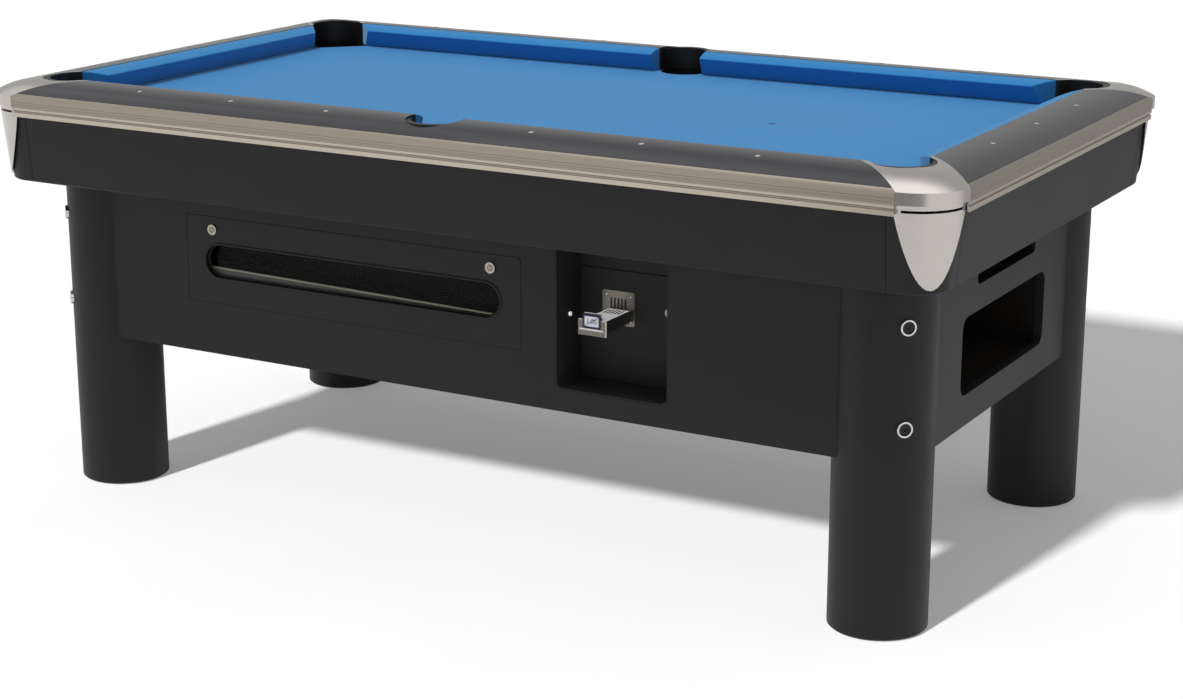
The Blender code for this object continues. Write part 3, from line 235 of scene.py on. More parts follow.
def settle(piece, name, finish, body):
    """Names a piece, puts its place into its mesh, gives it a finish and fixes it to its body."""
    pick_up(piece)
    bpy.ops.object.transform_apply(location=True, rotation=True, scale=True)
    piece.name = piece.data.name = name
    if finish:
        piece.data.materials.clear()
        piece.data.materials.append(finish)
    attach(piece, body)
    return piece


def set_copy(pattern, name, matrix, body):
    """A copy of a modelled piece with its own mesh, set in place on its body."""
    piece = bpy.data.objects.new(name, pattern.data.copy())
    bpy.context.scene.collection.objects.link(piece)
    piece.data.transform(matrix)
    return settle(piece, name, None, body)


def dress(node, finish, width=0.0, steps=2):
    """A copy of a CAD solid with its triangles merged, its edges eased and its finish on."""
    solid = frame["nodes"][node]
    piece = bpy.data.objects.new(node + "_dressed", solid.data.copy())
    bpy.context.scene.collection.objects.link(piece)
    pick_up(piece)
    bpy.ops.mesh.customdata_custom_splitnormals_clear()
    bpy.ops.object.mode_set(mode="EDIT")
    bpy.ops.mesh.select_all(action="SELECT")
    bpy.ops.mesh.remove_doubles(threshold=1e-5)
    bpy.ops.mesh.dissolve_limited(angle_limit=radians(0.3))
    ease_edges(piece, width, steps)
    settle(piece, piece.name, finish, solid["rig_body"])
    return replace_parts(piece, node)


def paint(node, finish):
    """Gives a CAD solid its finish."""
    frame["nodes"][node].data.materials.clear()
    frame["nodes"][node].data.materials.append(finish)


# High-pressure laminate pressed on a fine pebbled plate: near black, with a soft broad sheen. The
# pebble is about 0.4 mm across and is drawn at 2.5 mm, so that it shows.
black_laminate = pressed_laminate(
    "satin_black_laminate",
    ("#1c1c1d", "#242425"),
    cloud_size=0.15,
    roughness=(0.44, 0.56),
    relief=0.12,
    sheen=0.2,
)

# Bright chromium over polished steel: a clear mirror with faint handling marks about 8 mm across.
chrome = worn_metal("bright_chrome", "#c9c8c6", size=0.008, detail=4.0, roughness=(0.08, 0.2))

# Blackened steel: the oxide is matt and slightly uneven in patches of about 3 mm. On the coin slide's
# flanks this black is painted shade.
black_steel_and_shade = flecked(
    "blackened_steel_and_painted_shade",
    ("#0d0d0e", "#1b1b1d"),
    size=0.003,
    detail=4.0,
    sockets={"Roughness": 0.5, "Specular IOR Level": 0.35},
    relief=(0.1, 0.0003),
)

# Zinc plating, bright with a bluish cast and a spangle of about 4 mm.
zinc, place = new_finish("bright_zinc_plate")
spangle = add_node(zinc, "ShaderNodeTexVoronoi", {"Vector": place, "Scale": 1 / 0.004})
tone = add_node(
    zinc,
    "ShaderNodeMix",
    {0: spangle.outputs["Distance"], 6: linear("#9fa3a6"), 7: linear("#b9bcbe")},
    data_type="RGBA",
)
gloss = add_node(
    zinc, "ShaderNodeMapRange", {"Value": spangle.outputs["Distance"], "To Min": 0.3, "To Max": 0.45}
)
add_node(
    zinc,
    "ShaderNodeBsdfPrincipled",
    {"Base Color": tone.outputs[2], "Metallic": 1.0, "Roughness": gloss.outputs["Result"]},
)

corners = {
    f"{row}_{end}": Vector((across, along, 0))
    for row, along in (("front", -1), ("back", 1))
    for end, across in (("left", -1), ("right", 1))
}

SLEEVE_RADIUS = 0.0145
SLEEVE_DEPTH = 0.009
SLEEVE_WALL = 0.0036
SLEEVE_PROUD = 0.005
SLEEVE_BORE = 0.0065  # depth of the sleeve's bore, in which the bolt's head sits
BOLT_GAP = 0.0009  # round the head
BOLT_HEAD = 0.004
BOLT_MIDDLE = -0.0001  # of the head, from the sleeve's own middle
SOCKET_RADIUS = 0.0042
SOCKET_DEPTH = 0.006
SOCKET_MIDDLE = 0.0025  # of the cutter that makes it
BOLT_HEIGHTS = {"upper": 0.5685, "lower": 0.389}

bpy.ops.object.select_all(action="DESELECT")
bpy.ops.mesh.primitive_cylinder_add(vertices=40, radius=SLEEVE_RADIUS, depth=SLEEVE_DEPTH)
sleeve = bpy.context.object
choose(sleeve, "FACE", lambda middle, normal: normal.z > 0.9)
bpy.ops.mesh.inset(thickness=SLEEVE_WALL)
bpy.ops.mesh.extrude_region_move(TRANSFORM_OT_translate={"value": (0, 0, -SLEEVE_BORE)})
ease_edges(sleeve, 0.001, 3)
sleeve.data.materials.append(chrome)
bpy.ops.mesh.primitive_cylinder_add(
    vertices=40,
    radius=SLEEVE_RADIUS - SLEEVE_WALL - BOLT_GAP,
    depth=BOLT_HEAD,
    location=(0, 0, BOLT_MIDDLE),
)
bolt = bpy.context.object
bpy.ops.mesh.primitive_cylinder_add(
    vertices=6, radius=SOCKET_RADIUS, depth=SOCKET_DEPTH, location=(0, 0, SOCKET_MIDDLE)
)
cut_away(bolt, bpy.context.object)
ease_edges(bolt, 0.0004)
bolt.data.materials.append(black_steel_and_shade)
pick_up(bolt)
sleeve.select_set(True)
bpy.context.view_layer.objects.active = sleeve
bpy.ops.object.join()

for corner, outward in corners.items():
    dress("leg_" + corner, black_laminate)
    paint("leveller_" + corner, zinc)
    low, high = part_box("leg_" + corner)
    axis, radius = (low + high) / 2, (high.x - low.x) / 2
    direction = outward.normalized()
    turn = direction.to_track_quat("Z", "Y").to_matrix().to_4x4()
    for level, height in BOLT_HEIGHTS.items():
        spot = axis + direction * (radius + SLEEVE_PROUD - SLEEVE_DEPTH / 2)
        spot.z = height
        set_copy(sleeve, f"leg_bolt_{corner}_{level}", Matrix.Translation(spot) @ turn, "table")
bpy.data.objects.remove(sleeve)

# Cabinet
# A box of four laminated panels between the legs, with a plywood floor let in. The front panel is cut
# for the ball door and the coin recess, and the foot panel for the ball return and a narrow slot.

BOARD_EDGE = 0.0008  # rounding of a laminated board's edges
for side in ("front", "back", "head", "foot"):
    dress("cabinet_" + side, black_laminate, BOARD_EDGE)

# Birch plywood, near black: the grain runs along the table in streaks about 6 mm wide, warm and dull, and
# darker in the pores. The near-black colour is partly a black stain and partly painted shade for the dark
# inside of the cabinet.
plywood_and_painted_shade, place = new_finish("near_black_plywood_with_painted_shade")
along = add_node(plywood_and_painted_shade, "ShaderNodeMapping", {"Vector": place, "Scale": (0.06, 1.0, 1.0)})
streak = add_node(
    plywood_and_painted_shade,
    "ShaderNodeTexNoise",
    {"Vector": along.outputs["Vector"], "Scale": 1 / 0.006, "Detail": 5.0, "Distortion": 0.4},
)
tone = add_node(
    plywood_and_painted_shade,
    "ShaderNodeMix",
    {0: streak.outputs["Fac"], 6: linear("#191613"), 7: linear("#1f1b17")},
    data_type="RGBA",
)
relief = add_node(
    plywood_and_painted_shade,
    "ShaderNodeBump",
    {"Height": streak.outputs["Fac"], "Strength": 0.05, "Distance": 0.0003},
)
add_node(
    plywood_and_painted_shade,
    "ShaderNodeBsdfPrincipled",
    {
        "Base Color": tone.outputs[2],
        "Roughness": 0.62,
        "Normal": relief.outputs["Normal"],
        "Specular IOR Level": 0.1,
    },
)
paint("cabinet_floor", plywood_and_painted_shade)

# Ball run, tray and return
# Plywood channels inside the cabinet: the run falls from the foot end under all six pockets, the tray
# holds the played balls behind the window, and the box behind the foot opening gives them back.

# The plywood's near-black colour is partly painted shade.
paint("ball_run", plywood_and_painted_shade)
paint("return_box", plywood_and_painted_shade)
paint("ball_tray", plywood_and_painted_shade)

# Grey enamel on steel, dull, with scuffs from the balls in clouds about 20 mm across.
grey_enamel = flecked(
    "grey_enamelled_steel",
    ("#5f5d5d", "#6f6c6c"),
    size=0.02,
    detail=6.0,
    sockets={"Roughness": 0.5, "Specular IOR Level": 0.3},
)

# Birch on the edge of the lip: pale, dull and streaked along its length about 1 mm apart. Its paleness is
# partly a painted highlight along the lip's top edge.
birch_and_highlight, place = new_finish("birch_edge_with_painted_highlight")
along = add_node(birch_and_highlight, "ShaderNodeMapping", {"Vector": place, "Scale": (0.05, 1.0, 1.0)})
streak = add_node(
    birch_and_highlight,
    "ShaderNodeTexNoise",
    {"Vector": along.outputs["Vector"], "Scale": 1 / 0.001, "Detail": 3.0},
)
tone = add_node(
    birch_and_highlight,
    "ShaderNodeMix",
    {0: streak.outputs["Fac"], 6: linear("#b9ab99"), 7: linear("#cdc1b1")},
    data_type="RGBA",
)
add_node(birch_and_highlight, "ShaderNodeBsdfPrincipled", {"Base Color": tone.outputs[2], "Roughness": 0.6})

# The tray's lip, which falls with the tray, is faced with an enamelled strip under a birch edging, whose
# pale colour is partly a painted highlight.
LIP_ENDS = ((-0.612, 0.4945), (0.167, 0.4794))  # along the table and height of the lip's top edge
LIP_PROUD = 0.0008  # both strips in front of the lip
LIP_STRIPS = {  # depth, height, rise of its top over the lip's, and finish
    "tray_edging": (0.0066, 0.0024, 0.0008, birch_and_highlight),
    "tray_lip_strip": (0.0012, 0.0200, -0.0018, grey_enamel),
}
lip_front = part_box("ball_tray")[0].y
(start_x, start_z), (end_x, end_z) = LIP_ENDS
for name, (depth, height, rise, finish) in LIP_STRIPS.items():
    bpy.ops.object.select_all(action="DESELECT")
    bpy.ops.mesh.primitive_cube_add(
        size=1,
        location=(
            (start_x + end_x) / 2,
            lip_front - LIP_PROUD + depth / 2,
            (start_z + end_z) / 2 + rise - height / 2,
        ),
        rotation=(0, atan2(start_z - end_z, end_x - start_x), 0),
        scale=(end_x - start_x, depth, height),
    )
    strip = settle(bpy.context.object, name, finish, "table")
    ease_edges(strip, 0.0005)

# A pressed steel flap at the end of the tray, which the coin slide lifts to let the balls go.
paint("release_gate", black_steel_and_shade)

# Ball door
# A laminated panel hinged along its lower edge and flush with the cabinet, with a long round-ended
# window. A black rubber moulding with two beads holds a clear acrylic pane from behind.

dress("ball_door", black_laminate, BOARD_EDGE)

# Extruded rubber, dull black with a soft sheen and a skin that is slightly rough at about 1.5 mm.
black_rubber = flecked(
    "extruded_black_rubber",
    ("#0b0b0c", "#171718"),
    size=0.0015,
    detail=3.0,
    sockets={"Roughness": 0.42, "Specular IOR Level": 0.25},
    relief=(0.12, 0.0003),
)

# Cast acrylic sheet: clear, with a trace of polishing marks about 30 mm long. Its index is set low, so
# that the pane shows what is behind it more than the room.
acrylic, place = new_finish("clear_cast_acrylic")
polish = add_node(acrylic, "ShaderNodeTexNoise", {"Vector": place, "Scale": 1 / 0.03, "Detail": 3.0})
gloss = add_node(
    acrylic, "ShaderNodeMapRange", {"Value": polish.outputs["Fac"], "To Min": 0.02, "To Max": 0.06}
)
add_node(
    acrylic,
    "ShaderNodeBsdfPrincipled",
    {
        "Base Color": linear("#dfe3e4"),
        "Roughness": gloss.outputs["Result"],
        "IOR": 1.12,
        "Transmission Weight": 1.0,
    },
)
paint("ball_window", acrylic)

WINDOW_OVERLAP = 0.009
# Each bead's name, depth behind the door's face, spread past the opening's edge, and thickness.
BEADS = (("front", 0.0004, 0.0002, 0.0026), ("inner", 0.0092, -0.0028, 0.0021))
BEAD_STEPS = 48

door_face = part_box("ball_door")[0].y
low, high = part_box("ball_window")
window_low, window_high = low.z + WINDOW_OVERLAP, high.z - WINDOW_OVERLAP
end_radius = (window_high - window_low) / 2
first_end = low.x + WINDOW_OVERLAP + end_radius
last_end = high.x - WINDOW_OVERLAP - end_radius
for name, depth, spread, thickness in BEADS:
    bpy.ops.object.select_all(action="DESELECT")
    bpy.ops.mesh.primitive_torus_add(
        major_segments=BEAD_STEPS,
        minor_segments=12,
        major_radius=end_radius + spread,
        minor_radius=thickness,
        location=(first_end, door_face + depth, (window_low + window_high) / 2),
        rotation=(pi / 2, pi / BEAD_STEPS, 0),
    )
    bead = settle(bpy.context.object, f"window_bead_{name}", black_rubber, "ball_door")
    choose(bead, "VERT", lambda point, normal: point.x > first_end)
    bpy.ops.transform.translate(value=(last_end - first_end, 0, 0))
    ease_edges(bead, 0)

# Cam locks
# Nickel-plated barrels through the door and through the back of the coin recess. Each has a domed
# head with a plug let into it, slotted for a flat key, and a steel cam on the inside.

# Dull nickel, a warm grey metal with a fine turned grain about 0.5 mm wide, drawn at 1 mm.
nickel = worn_metal("dull_nickel_plate", "#aba398", size=0.001, detail=3.0, roughness=(0.22, 0.38))

# The plugs are brass that has gone dull and brown, with stains about 3 mm across.
brass = worn_metal("dull_brass", "#82796b", size=0.003, detail=4.0, roughness=(0.3, 0.45))

PLUG_RADIUS = 0.0066
PLUG_DEPTH = 0.003
PLUG_PROUD = 0.0008
KEY_SLOT = (0.0022, 0.0095, 0.004)  # of the cutter, half of it in the plug
LOCK_HEAD_RADIUS = 0.0105

bpy.ops.object.select_all(action="DESELECT")
bpy.ops.mesh.primitive_cylinder_add(vertices=32, radius=PLUG_RADIUS, depth=PLUG_DEPTH)
plug = bpy.context.object
bpy.ops.mesh.primitive_cube_add(size=1, location=(0, 0, PLUG_DEPTH / 2), scale=KEY_SLOT)
cut_away(plug, bpy.context.object)
ease_edges(plug, 0.0003)
plug.data.materials.append(brass)
facing_front = Vector((0, -1, 0)).to_track_quat("Z", "X").to_matrix().to_4x4()
for lock in ("door_lock_left", "door_lock_right", "coin_lock"):
    dress(lock, nickel, 0.0008, 3)
    low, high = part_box(lock)
    spot = Vector((low.x + LOCK_HEAD_RADIUS, low.y - PLUG_PROUD + PLUG_DEPTH / 2, (low.z + high.z) / 2))
    set_copy(plug, lock + "_plug", Matrix.Translation(spot) @ facing_front, lock)

# Coin recess
# A pressed steel tub let into the front panel, powder coated in fine-textured black. A service plate
# closes its back under a narrow header, and a stud lock holds the plate from the left wall.

# Powder coat, black, with an orange-peel skin of about 1 mm, drawn at 2 mm.
powder_coat = flecked(
    "black_powder_coat",
    ("#272728", "#303031"),
    size=0.002,
    detail=2.0,
    sockets={"Roughness": 0.5, "Specular IOR Level": 0.12},
    relief=(0.15, 0.0003),
)
dress("coin_recess", powder_coat, 0.001)
paint("cash_box", zinc)

# Die-cast alloy, pale and half dull, worn rougher and smoother in patches about 6 mm across. Its
# near-white colour is in part painted light, on the coin slide's top and on the trim's sawn ends.
pale_alloy_and_light = worn_metal(
    "pale_alloy_casting_with_painted_light", "#e9e8e7", size=0.006, detail=4.0, roughness=(0.3, 0.5), metallic=0.1
)

RECESS_WALL = 0.003
PLATE_SIDE_GAP = 0.002
PLATE_HEIGHTS = {  # foot and top
    "recess_service_plate": (0.3655, 0.5775),
    "recess_header": (0.582, 0.627),
}
PLATE_THICKNESS = 0.003
PLATE_CORNER = 0.003

low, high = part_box("coin_recess")
recess_back = high.y - RECESS_WALL
for name, (foot, top) in PLATE_HEIGHTS.items():
    bpy.ops.object.select_all(action="DESELECT")
    bpy.ops.mesh.primitive_cube_add(
        size=1,
        location=((low.x + high.x) / 2, recess_back - PLATE_THICKNESS / 2, (foot + top) / 2),
        scale=(high.x - low.x - 2 * (RECESS_WALL + PLATE_SIDE_GAP), PLATE_THICKNESS, top - foot),
    )
    plate = settle(bpy.context.object, name, powder_coat, "table")
    choose(plate, "EDGE", lambda point, direction: abs(direction.y) > 0.9)
    bpy.ops.mesh.bevel(offset=PLATE_CORNER, segments=4)
    ease_edges(plate, 0.0004)

STUD_PLACE = (-0.4234, 0.4942)  # depth and height on the left wall
STUD_SHARE = 0.65  # of the plug's width
spot = Vector((low.x + RECESS_WALL + PLUG_DEPTH / 2, *STUD_PLACE))
facing_right = Vector((1, 0, 0)).to_track_quat("Z", "Y").to_matrix().to_4x4()
turned = Matrix.Translation(spot) @ facing_right @ Matrix.Diagonal((STUD_SHARE, STUD_SHARE, 1, 1))
stud = set_copy(plug, "recess_stud", turned, "table")
stud.data.materials[0] = pale_alloy_and_light
bpy.data.objects.remove(plug)

# Coin chute and slide
# A plated push chute: coins stand on edge in five slots of the slide, and pushing it home carries them
# through five matching slots in the riveted face plate. A framed price plate stands on the slide's front.

# Satin chromium, dulled by use: a warm grey metal with fine wear about 2 mm across.
satin_chrome = worn_metal("worn_satin_chrome", "#706b64", size=0.002, detail=4.0, roughness=(0.18, 0.34))

SLOT_COUNT = 5
SLOT_PITCH = 0.0074
SLOT_WIDTH = 0.0036
COIN_LENGTH = 0.027
FACE_SLOT_HEIGHT = 0.020
FACE_SLOT_DEPTH = 0.003
FACE_SLOT_RISE = 0.002  # foot of the plate's slots over the slide
SLIDE_SLOT_GAP = 0.004  # from the plate to the slide's slots
SLIDE_SLOT_HEIGHT = 0.016  # of the cutter, half of it in the slide
FACE_DEPTH = 0.004  # of the slide's bright front
SLIDE_TOP = 0.5033  # height of the slide's flat top

chute = dress("coin_chute", satin_chrome, 0.0005)
slide = dress("coin_slide", pale_alloy_and_light, 0.0005)
chute_low, chute_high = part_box("coin_chute")
slide_low, slide_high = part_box("coin_slide")
chute_x = (chute_low.x + chute_high.x) / 2
for index in range(SLOT_COUNT):
    across = chute_x + (index - (SLOT_COUNT - 1) / 2) * SLOT_PITCH
    bpy.ops.mesh.primitive_cube_add(
        size=1,
        location=(across, chute_low.y, SLIDE_TOP + FACE_SLOT_RISE + FACE_SLOT_HEIGHT / 2),
        scale=(SLOT_WIDTH, 2 * FACE_SLOT_DEPTH, FACE_SLOT_HEIGHT),
    )
    cut_away(chute, bpy.context.object)
    bpy.ops.mesh.primitive_cube_add(
        size=1,
        location=(across, chute_low.y - SLIDE_SLOT_GAP - COIN_LENGTH / 2, SLIDE_TOP),
        scale=(SLOT_WIDTH, COIN_LENGTH, SLIDE_SLOT_HEIGHT),
    )
    cut_away(slide, bpy.context.object)
for piece in (chute, slide):
    ease_edges(piece, 0)
# The slide's flanks are black as painted shade and its top is pale as painted light; its front is satin.
slide.data.materials.append(black_steel_and_shade)
slide.data.materials.append(satin_chrome)
for face in slide.data.polygons:
    if abs(face.normal.x) > 0.5 and face.center.y > slide_low.y + FACE_DEPTH:
        face.material_index = 1
    elif face.normal.y < -0.5:
        face.material_index = 2

RIVET_RADIUS = 0.0026
RIVET_DOME = 0.6  # height of the head for its radius
RIVET_SEAT = 0.0003  # foot of the head in the plate
RIVET_INSET = 0.0085
bpy.ops.object.select_all(action="DESELECT")
bpy.ops.mesh.primitive_uv_sphere_add(
    segments=20, ring_count=12, radius=RIVET_RADIUS, scale=(1, 1, RIVET_DOME)
)
rivet = bpy.context.object
bpy.ops.object.transform_apply(location=False, rotation=False, scale=True)
bpy.ops.object.mode_set(mode="EDIT")
bpy.ops.mesh.select_all(action="SELECT")
bpy.ops.mesh.bisect(plane_co=(0, 0, -RIVET_SEAT), plane_no=(0, 0, 1), clear_inner=True, use_fill=True)
ease_edges(rivet, 0)
rivet.data.materials.append(chrome)
for across, name_x in ((chute_low.x + RIVET_INSET, "left"), (chute_high.x - RIVET_INSET, "right")):
    for height, name_z in ((chute_low.z + RIVET_INSET, "lower"), (chute_high.z - RIVET_INSET, "upper")):
        spot = Matrix.Translation((across, chute_low.y, height)) @ facing_front
        set_copy(rivet, f"chute_rivet_{name_x}_{name_z}", spot, "table")
bpy.data.objects.remove(rivet)

# Printed card under a thin glaze, off-white with fibres about 1 mm long, and the blue rule printed on it.
price_card = flecked(
    "printed_price_card",
    ("#dcdde6", "#f1f1f5"),
    size=0.001,
    detail=2.0,
    sockets={"Roughness": 0.35},
)
price_rule = flecked(
    "printed_blue_rule",
    ("#323a86", "#444c9c"),
    size=0.001,
    detail=2.0,
    sockets={"Roughness": 0.35},
)

PRICE_WIDTH = 0.037
PRICE_HEIGHT = 0.0265
PRICE_THICKNESS = 0.0008
FRAME_WIDTH = 0.0026
RULE_WIDTH = 0.0015
PRICE_CORNER = 0.003
PRICE_DROP = 0.0015  # under the top of the slide's front
price_middle = Vector(
    (chute_x, slide_low.y - PRICE_THICKNESS / 2, slide_high.z - PRICE_DROP - PRICE_HEIGHT / 2)
)
bpy.ops.object.select_all(action="DESELECT")
bpy.ops.mesh.primitive_cube_add(
    size=1, location=price_middle, scale=(PRICE_WIDTH, PRICE_THICKNESS, PRICE_HEIGHT)
)
price_plate = settle(bpy.context.object, "price_plate", black_steel_and_shade, "coin_slide")
price_plate.data.materials.append(price_rule)
price_plate.data.materials.append(price_card)
choose(price_plate, "EDGE", lambda point, direction: abs(direction.y) > 0.9)
bpy.ops.mesh.bevel(offset=PRICE_CORNER, segments=5)
for index, width in ((1, FRAME_WIDTH), (2, RULE_WIDTH)):
    choose(
        price_plate,
        "FACE",
        lambda point, normal: normal.y < -0.9 and (point - price_middle).xz.length < PRICE_THICKNESS,
    )
    bpy.ops.mesh.inset(thickness=width)
    price_plate.active_material_index = index
    bpy.ops.object.material_slot_assign()
ease_edges(price_plate, 0)

LEDGE_SIZE = (0.050, 0.0016, 0.0034)
bpy.ops.object.select_all(action="DESELECT")
bpy.ops.mesh.primitive_cube_add(
    size=1,
    location=price_middle - Vector((0, LEDGE_SIZE[1] / 2, (PRICE_HEIGHT + LEDGE_SIZE[2]) / 2)),
    scale=LEDGE_SIZE,
)
ledge = settle(bpy.context.object, "price_plate_ledge", pale_alloy_and_light, "coin_slide")
ease_edges(ledge, 0.0006, 3)

# Plain figures printed on the card in dull black ink, slightly worn in patches of about 1 mm.
ink = flecked(
    "dull_black_ink",
    ("#1c1d24", "#34353d"),
    size=0.001,
    detail=2.0,
    sockets={"Roughness": 0.6},
)

INK_THICKNESS = 0.00015
FIGURE_SIZE = 0.0128
bpy.ops.object.select_all(action="DESELECT")
bpy.ops.object.text_add(
    location=price_middle - Vector((0, PRICE_THICKNESS / 2 + INK_THICKNESS / 2, 0)),
    rotation=(pi / 2, 0, 0),
)
figures = bpy.context.object
figures.data.body = "1.00"
figures.data.size = FIGURE_SIZE
figures.data.extrude = INK_THICKNESS
figures.data.align_x, figures.data.align_y = "CENTER", "CENTER"
bpy.ops.object.convert(target="MESH")
settle(figures, "price_figures", ink, "coin_slide")
bpy.ops.object.mode_set(mode="EDIT")
bpy.ops.mesh.select_all(action="SELECT")
bpy.ops.mesh.remove_doubles(threshold=1e-6)
bpy.ops.mesh.dissolve_limited(angle_limit=radians(0.5))
ease_edges(figures, 0)

# Slate bed and cloth
# One slab of honed slate, chamfered at the corner pockets and bored at the sides. The blue cloth is
# stretched flat over it and glued down round its edges.

# Honed slate, blue-black and dull, with faint cleavage clouds about 80 mm across.
slate = flecked(
    "honed_slate",
    ("#2b2e31", "#44484c"),
    size=0.08,
    detail=8.0,
    sockets={"Roughness": 0.75},
)
paint("slate_bed", slate)

# Worsted wool and nylon cloth, tightly woven and shorn: a deep blue with a pale bloom at low angles.
# The threads are 0.5 mm apart and are drawn 2.5 mm apart, with nap clouds about 60 mm across.
blue_cloth, place = new_finish("blue_worsted_cloth")
thread = add_node(
    blue_cloth,
    "ShaderNodeTexNoise",
    {"Vector": place, "Scale": 1 / 0.0025, "Detail": 2.0, "Roughness": 0.7},
)
nap = add_node(blue_cloth, "ShaderNodeTexNoise", {"Vector": place, "Scale": 1 / 0.06, "Detail": 5.0})
mixed = add_node(
    blue_cloth,
    "ShaderNodeMath",
    {0: thread.outputs["Fac"], 1: nap.outputs["Fac"]},
    operation="MULTIPLY",
)
spread = add_node(
    blue_cloth,
    "ShaderNodeMapRange",
    {"Value": mixed.outputs["Value"], "From Min": 0.1, "From Max": 0.4},
)
tone = add_node(
    blue_cloth,
    "ShaderNodeMix",
    {0: spread.outputs["Result"], 6: linear("#2b7cbc"), 7: linear("#2f80c0")},
    data_type="RGBA",
)
relief = add_node(
    blue_cloth,
    "ShaderNodeBump",
    {"Height": thread.outputs["Fac"], "Strength": 0.12, "Distance": 0.0004},
)
add_node(
    blue_cloth,
    "ShaderNodeBsdfPrincipled",
    {
        "Base Color": tone.outputs[2],
        "Roughness": 0.9,
        "Normal": relief.outputs["Normal"],
        "Specular IOR Level": 0.2,
        "Sheen Weight": 0.55,
        "Sheen Roughness": 0.45,
        "Sheen Tint": linear("#bfefff"),
    },
)

CORNER_CUT = 0.1622  # legs of the straight cut at each corner
SIDE_POCKET_RADIUS = 0.054
SIDE_POCKET_Y = 0.4965
CUTTER_LENGTH = 0.1  # well through the cloth

low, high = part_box("bed_cloth")
half = (high - low) / 2
bpy.ops.object.select_all(action="DESELECT")
bpy.ops.mesh.primitive_cube_add(size=1, location=(low + high) / 2, scale=high - low)
cloth = settle(bpy.context.object, "stretched_bed_cloth", blue_cloth, "table")
for outward in corners.values():
    bpy.ops.object.mode_set(mode="EDIT")
    bpy.ops.mesh.select_all(action="SELECT")
    edge = Vector((outward.x * (half.x - CORNER_CUT / 2), outward.y * (half.y - CORNER_CUT / 2), high.z))
    bpy.ops.mesh.bisect(plane_co=edge, plane_no=outward.normalized(), clear_outer=True, use_fill=True)
    bpy.ops.object.mode_set(mode="OBJECT")
for along in (-SIDE_POCKET_Y, SIDE_POCKET_Y):
    bpy.ops.mesh.primitive_cylinder_add(
        vertices=64, radius=SIDE_POCKET_RADIUS, depth=CUTTER_LENGTH, location=(0, along, high.z)
    )
    cut_away(cloth, bpy.context.object)
ease_edges(cloth, 0.0004)
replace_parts(cloth, "bed_cloth")

# Foot spot of pressed felt paper, dark blue-grey with fibres about 1 mm long.
spot_paper = flecked(
    "pressed_spot_paper",
    ("#20364c", "#30506c"),
    size=0.001,
    detail=3.0,
    sockets={"Roughness": 0.85},
)

SPOT_PLACE = (0.4445, 0.0)  # along and across the bed
SPOT_RADIUS = 0.0065
SPOT_THICKNESS = 0.0004
bpy.ops.object.select_all(action="DESELECT")
bpy.ops.mesh.primitive_cylinder_add(
    vertices=32, radius=SPOT_RADIUS, depth=SPOT_THICKNESS, location=(*SPOT_PLACE, high.z)
)
spot = settle(bpy.context.object, "foot_spot", spot_paper, "table")
ease_edges(spot, 0.0001)

# Rails
# Four top rails with a convex outer face, formed in dark grey laminate over a board core. Small round
# pearl sights are let into them at the eighths of the table's length.

# Postformed laminate, dark grey, with a soft satin sheen and a fine pebble drawn at 2.5 mm.
rail_laminate = pressed_laminate(
    "grey_rail_laminate",
    ("#2a2b2e", "#313235"),
    cloud_size=0.12,
    roughness=(0.15, 0.21),
    relief=0.1,
    sheen=0.17,
)

sides = {"front": (0, -1, 0), "back": (0, 1, 0), "head": (-1, 0, 0), "foot": (1, 0, 0)}
MOUTH_MARGIN = 0.003  # round a side pocket, within which its faces are black


def line_mouth(piece, test):
    """Blackens the faces of a piece that a pocket's rubber lies against."""
    piece.data.materials.append(black_rubber)
    for face in piece.data.polygons:
        if abs(face.normal.z) < 0.7 and test(face.center, face.normal):
            face.material_index = 1


for side in sides:
    rail = dress("rail_" + side, rail_laminate, 0.0006)
    if sides[side][1]:
        middle = Vector((0, sides[side][1] * SIDE_POCKET_Y))
        reach = SIDE_POCKET_RADIUS + MOUTH_MARGIN
        line_mouth(rail, lambda point, normal: (point.xy - middle).length < reach)

# Moulded pearl sights: pale, with a soft shine and a cloud about 2 mm across.
pearl = flecked(
    "moulded_pearl",
    ("#a6a5a4", "#b7b6b4"),
    size=0.002,
    detail=3.0,
    sockets={"Roughness": 0.3},
)

SIGHT_RADIUS = 0.0046
SIGHT_DEPTH = 0.002
SIGHT_PROUD = 0.0004
SIGHT_RING = 0.4  # share of the radius that slopes up to the flat
SIGHT_CROWN = 0.0002  # rise of the flat
SIGHT_HEIGHT = 0.8467
SIGHT_TILT = 0.1338  # fall of the rail's top at the sights
SIGHT_EDGES = (0.9706, 0.5261)  # line of the sights from the table's middle, at the ends and the sides
EIGHTH = 0.22225  # of the length between the cushions' noses

bpy.ops.object.select_all(action="DESELECT")
bpy.ops.mesh.primitive_cylinder_add(vertices=28, radius=SIGHT_RADIUS, depth=SIGHT_DEPTH)
sight = bpy.context.object
choose(sight, "FACE", lambda middle, normal: normal.z > 0.9)
bpy.ops.mesh.inset(thickness=SIGHT_RADIUS * SIGHT_RING)
bpy.ops.transform.translate(value=(0, 0, SIGHT_CROWN))
ease_edges(sight, 0.0002)
sight.data.materials.append(pearl)
for side, outward in sides.items():
    outward = Vector(outward)
    line = outward * (SIGHT_EDGES[0] if outward.x else SIGHT_EDGES[1])
    along = Vector((outward.y, outward.x, 0))
    normal = (outward * SIGHT_TILT + Vector((0, 0, 1))).normalized()
    turn = normal.to_track_quat("Z", "Y").to_matrix().to_4x4()
    steps = (-1, 0, 1) if outward.x else (-3, -2, -1, 1, 2, 3)
    for number, step in enumerate(steps, 1):
        spot = line + along * step * EIGHTH + Vector((0, 0, SIGHT_HEIGHT))
        spot += normal * (SIGHT_PROUD - SIGHT_DEPTH / 2)
        set_copy(sight, f"sight_{side}_{number}", Matrix.Translation(spot) @ turn, "table")
bpy.data.objects.remove(sight)
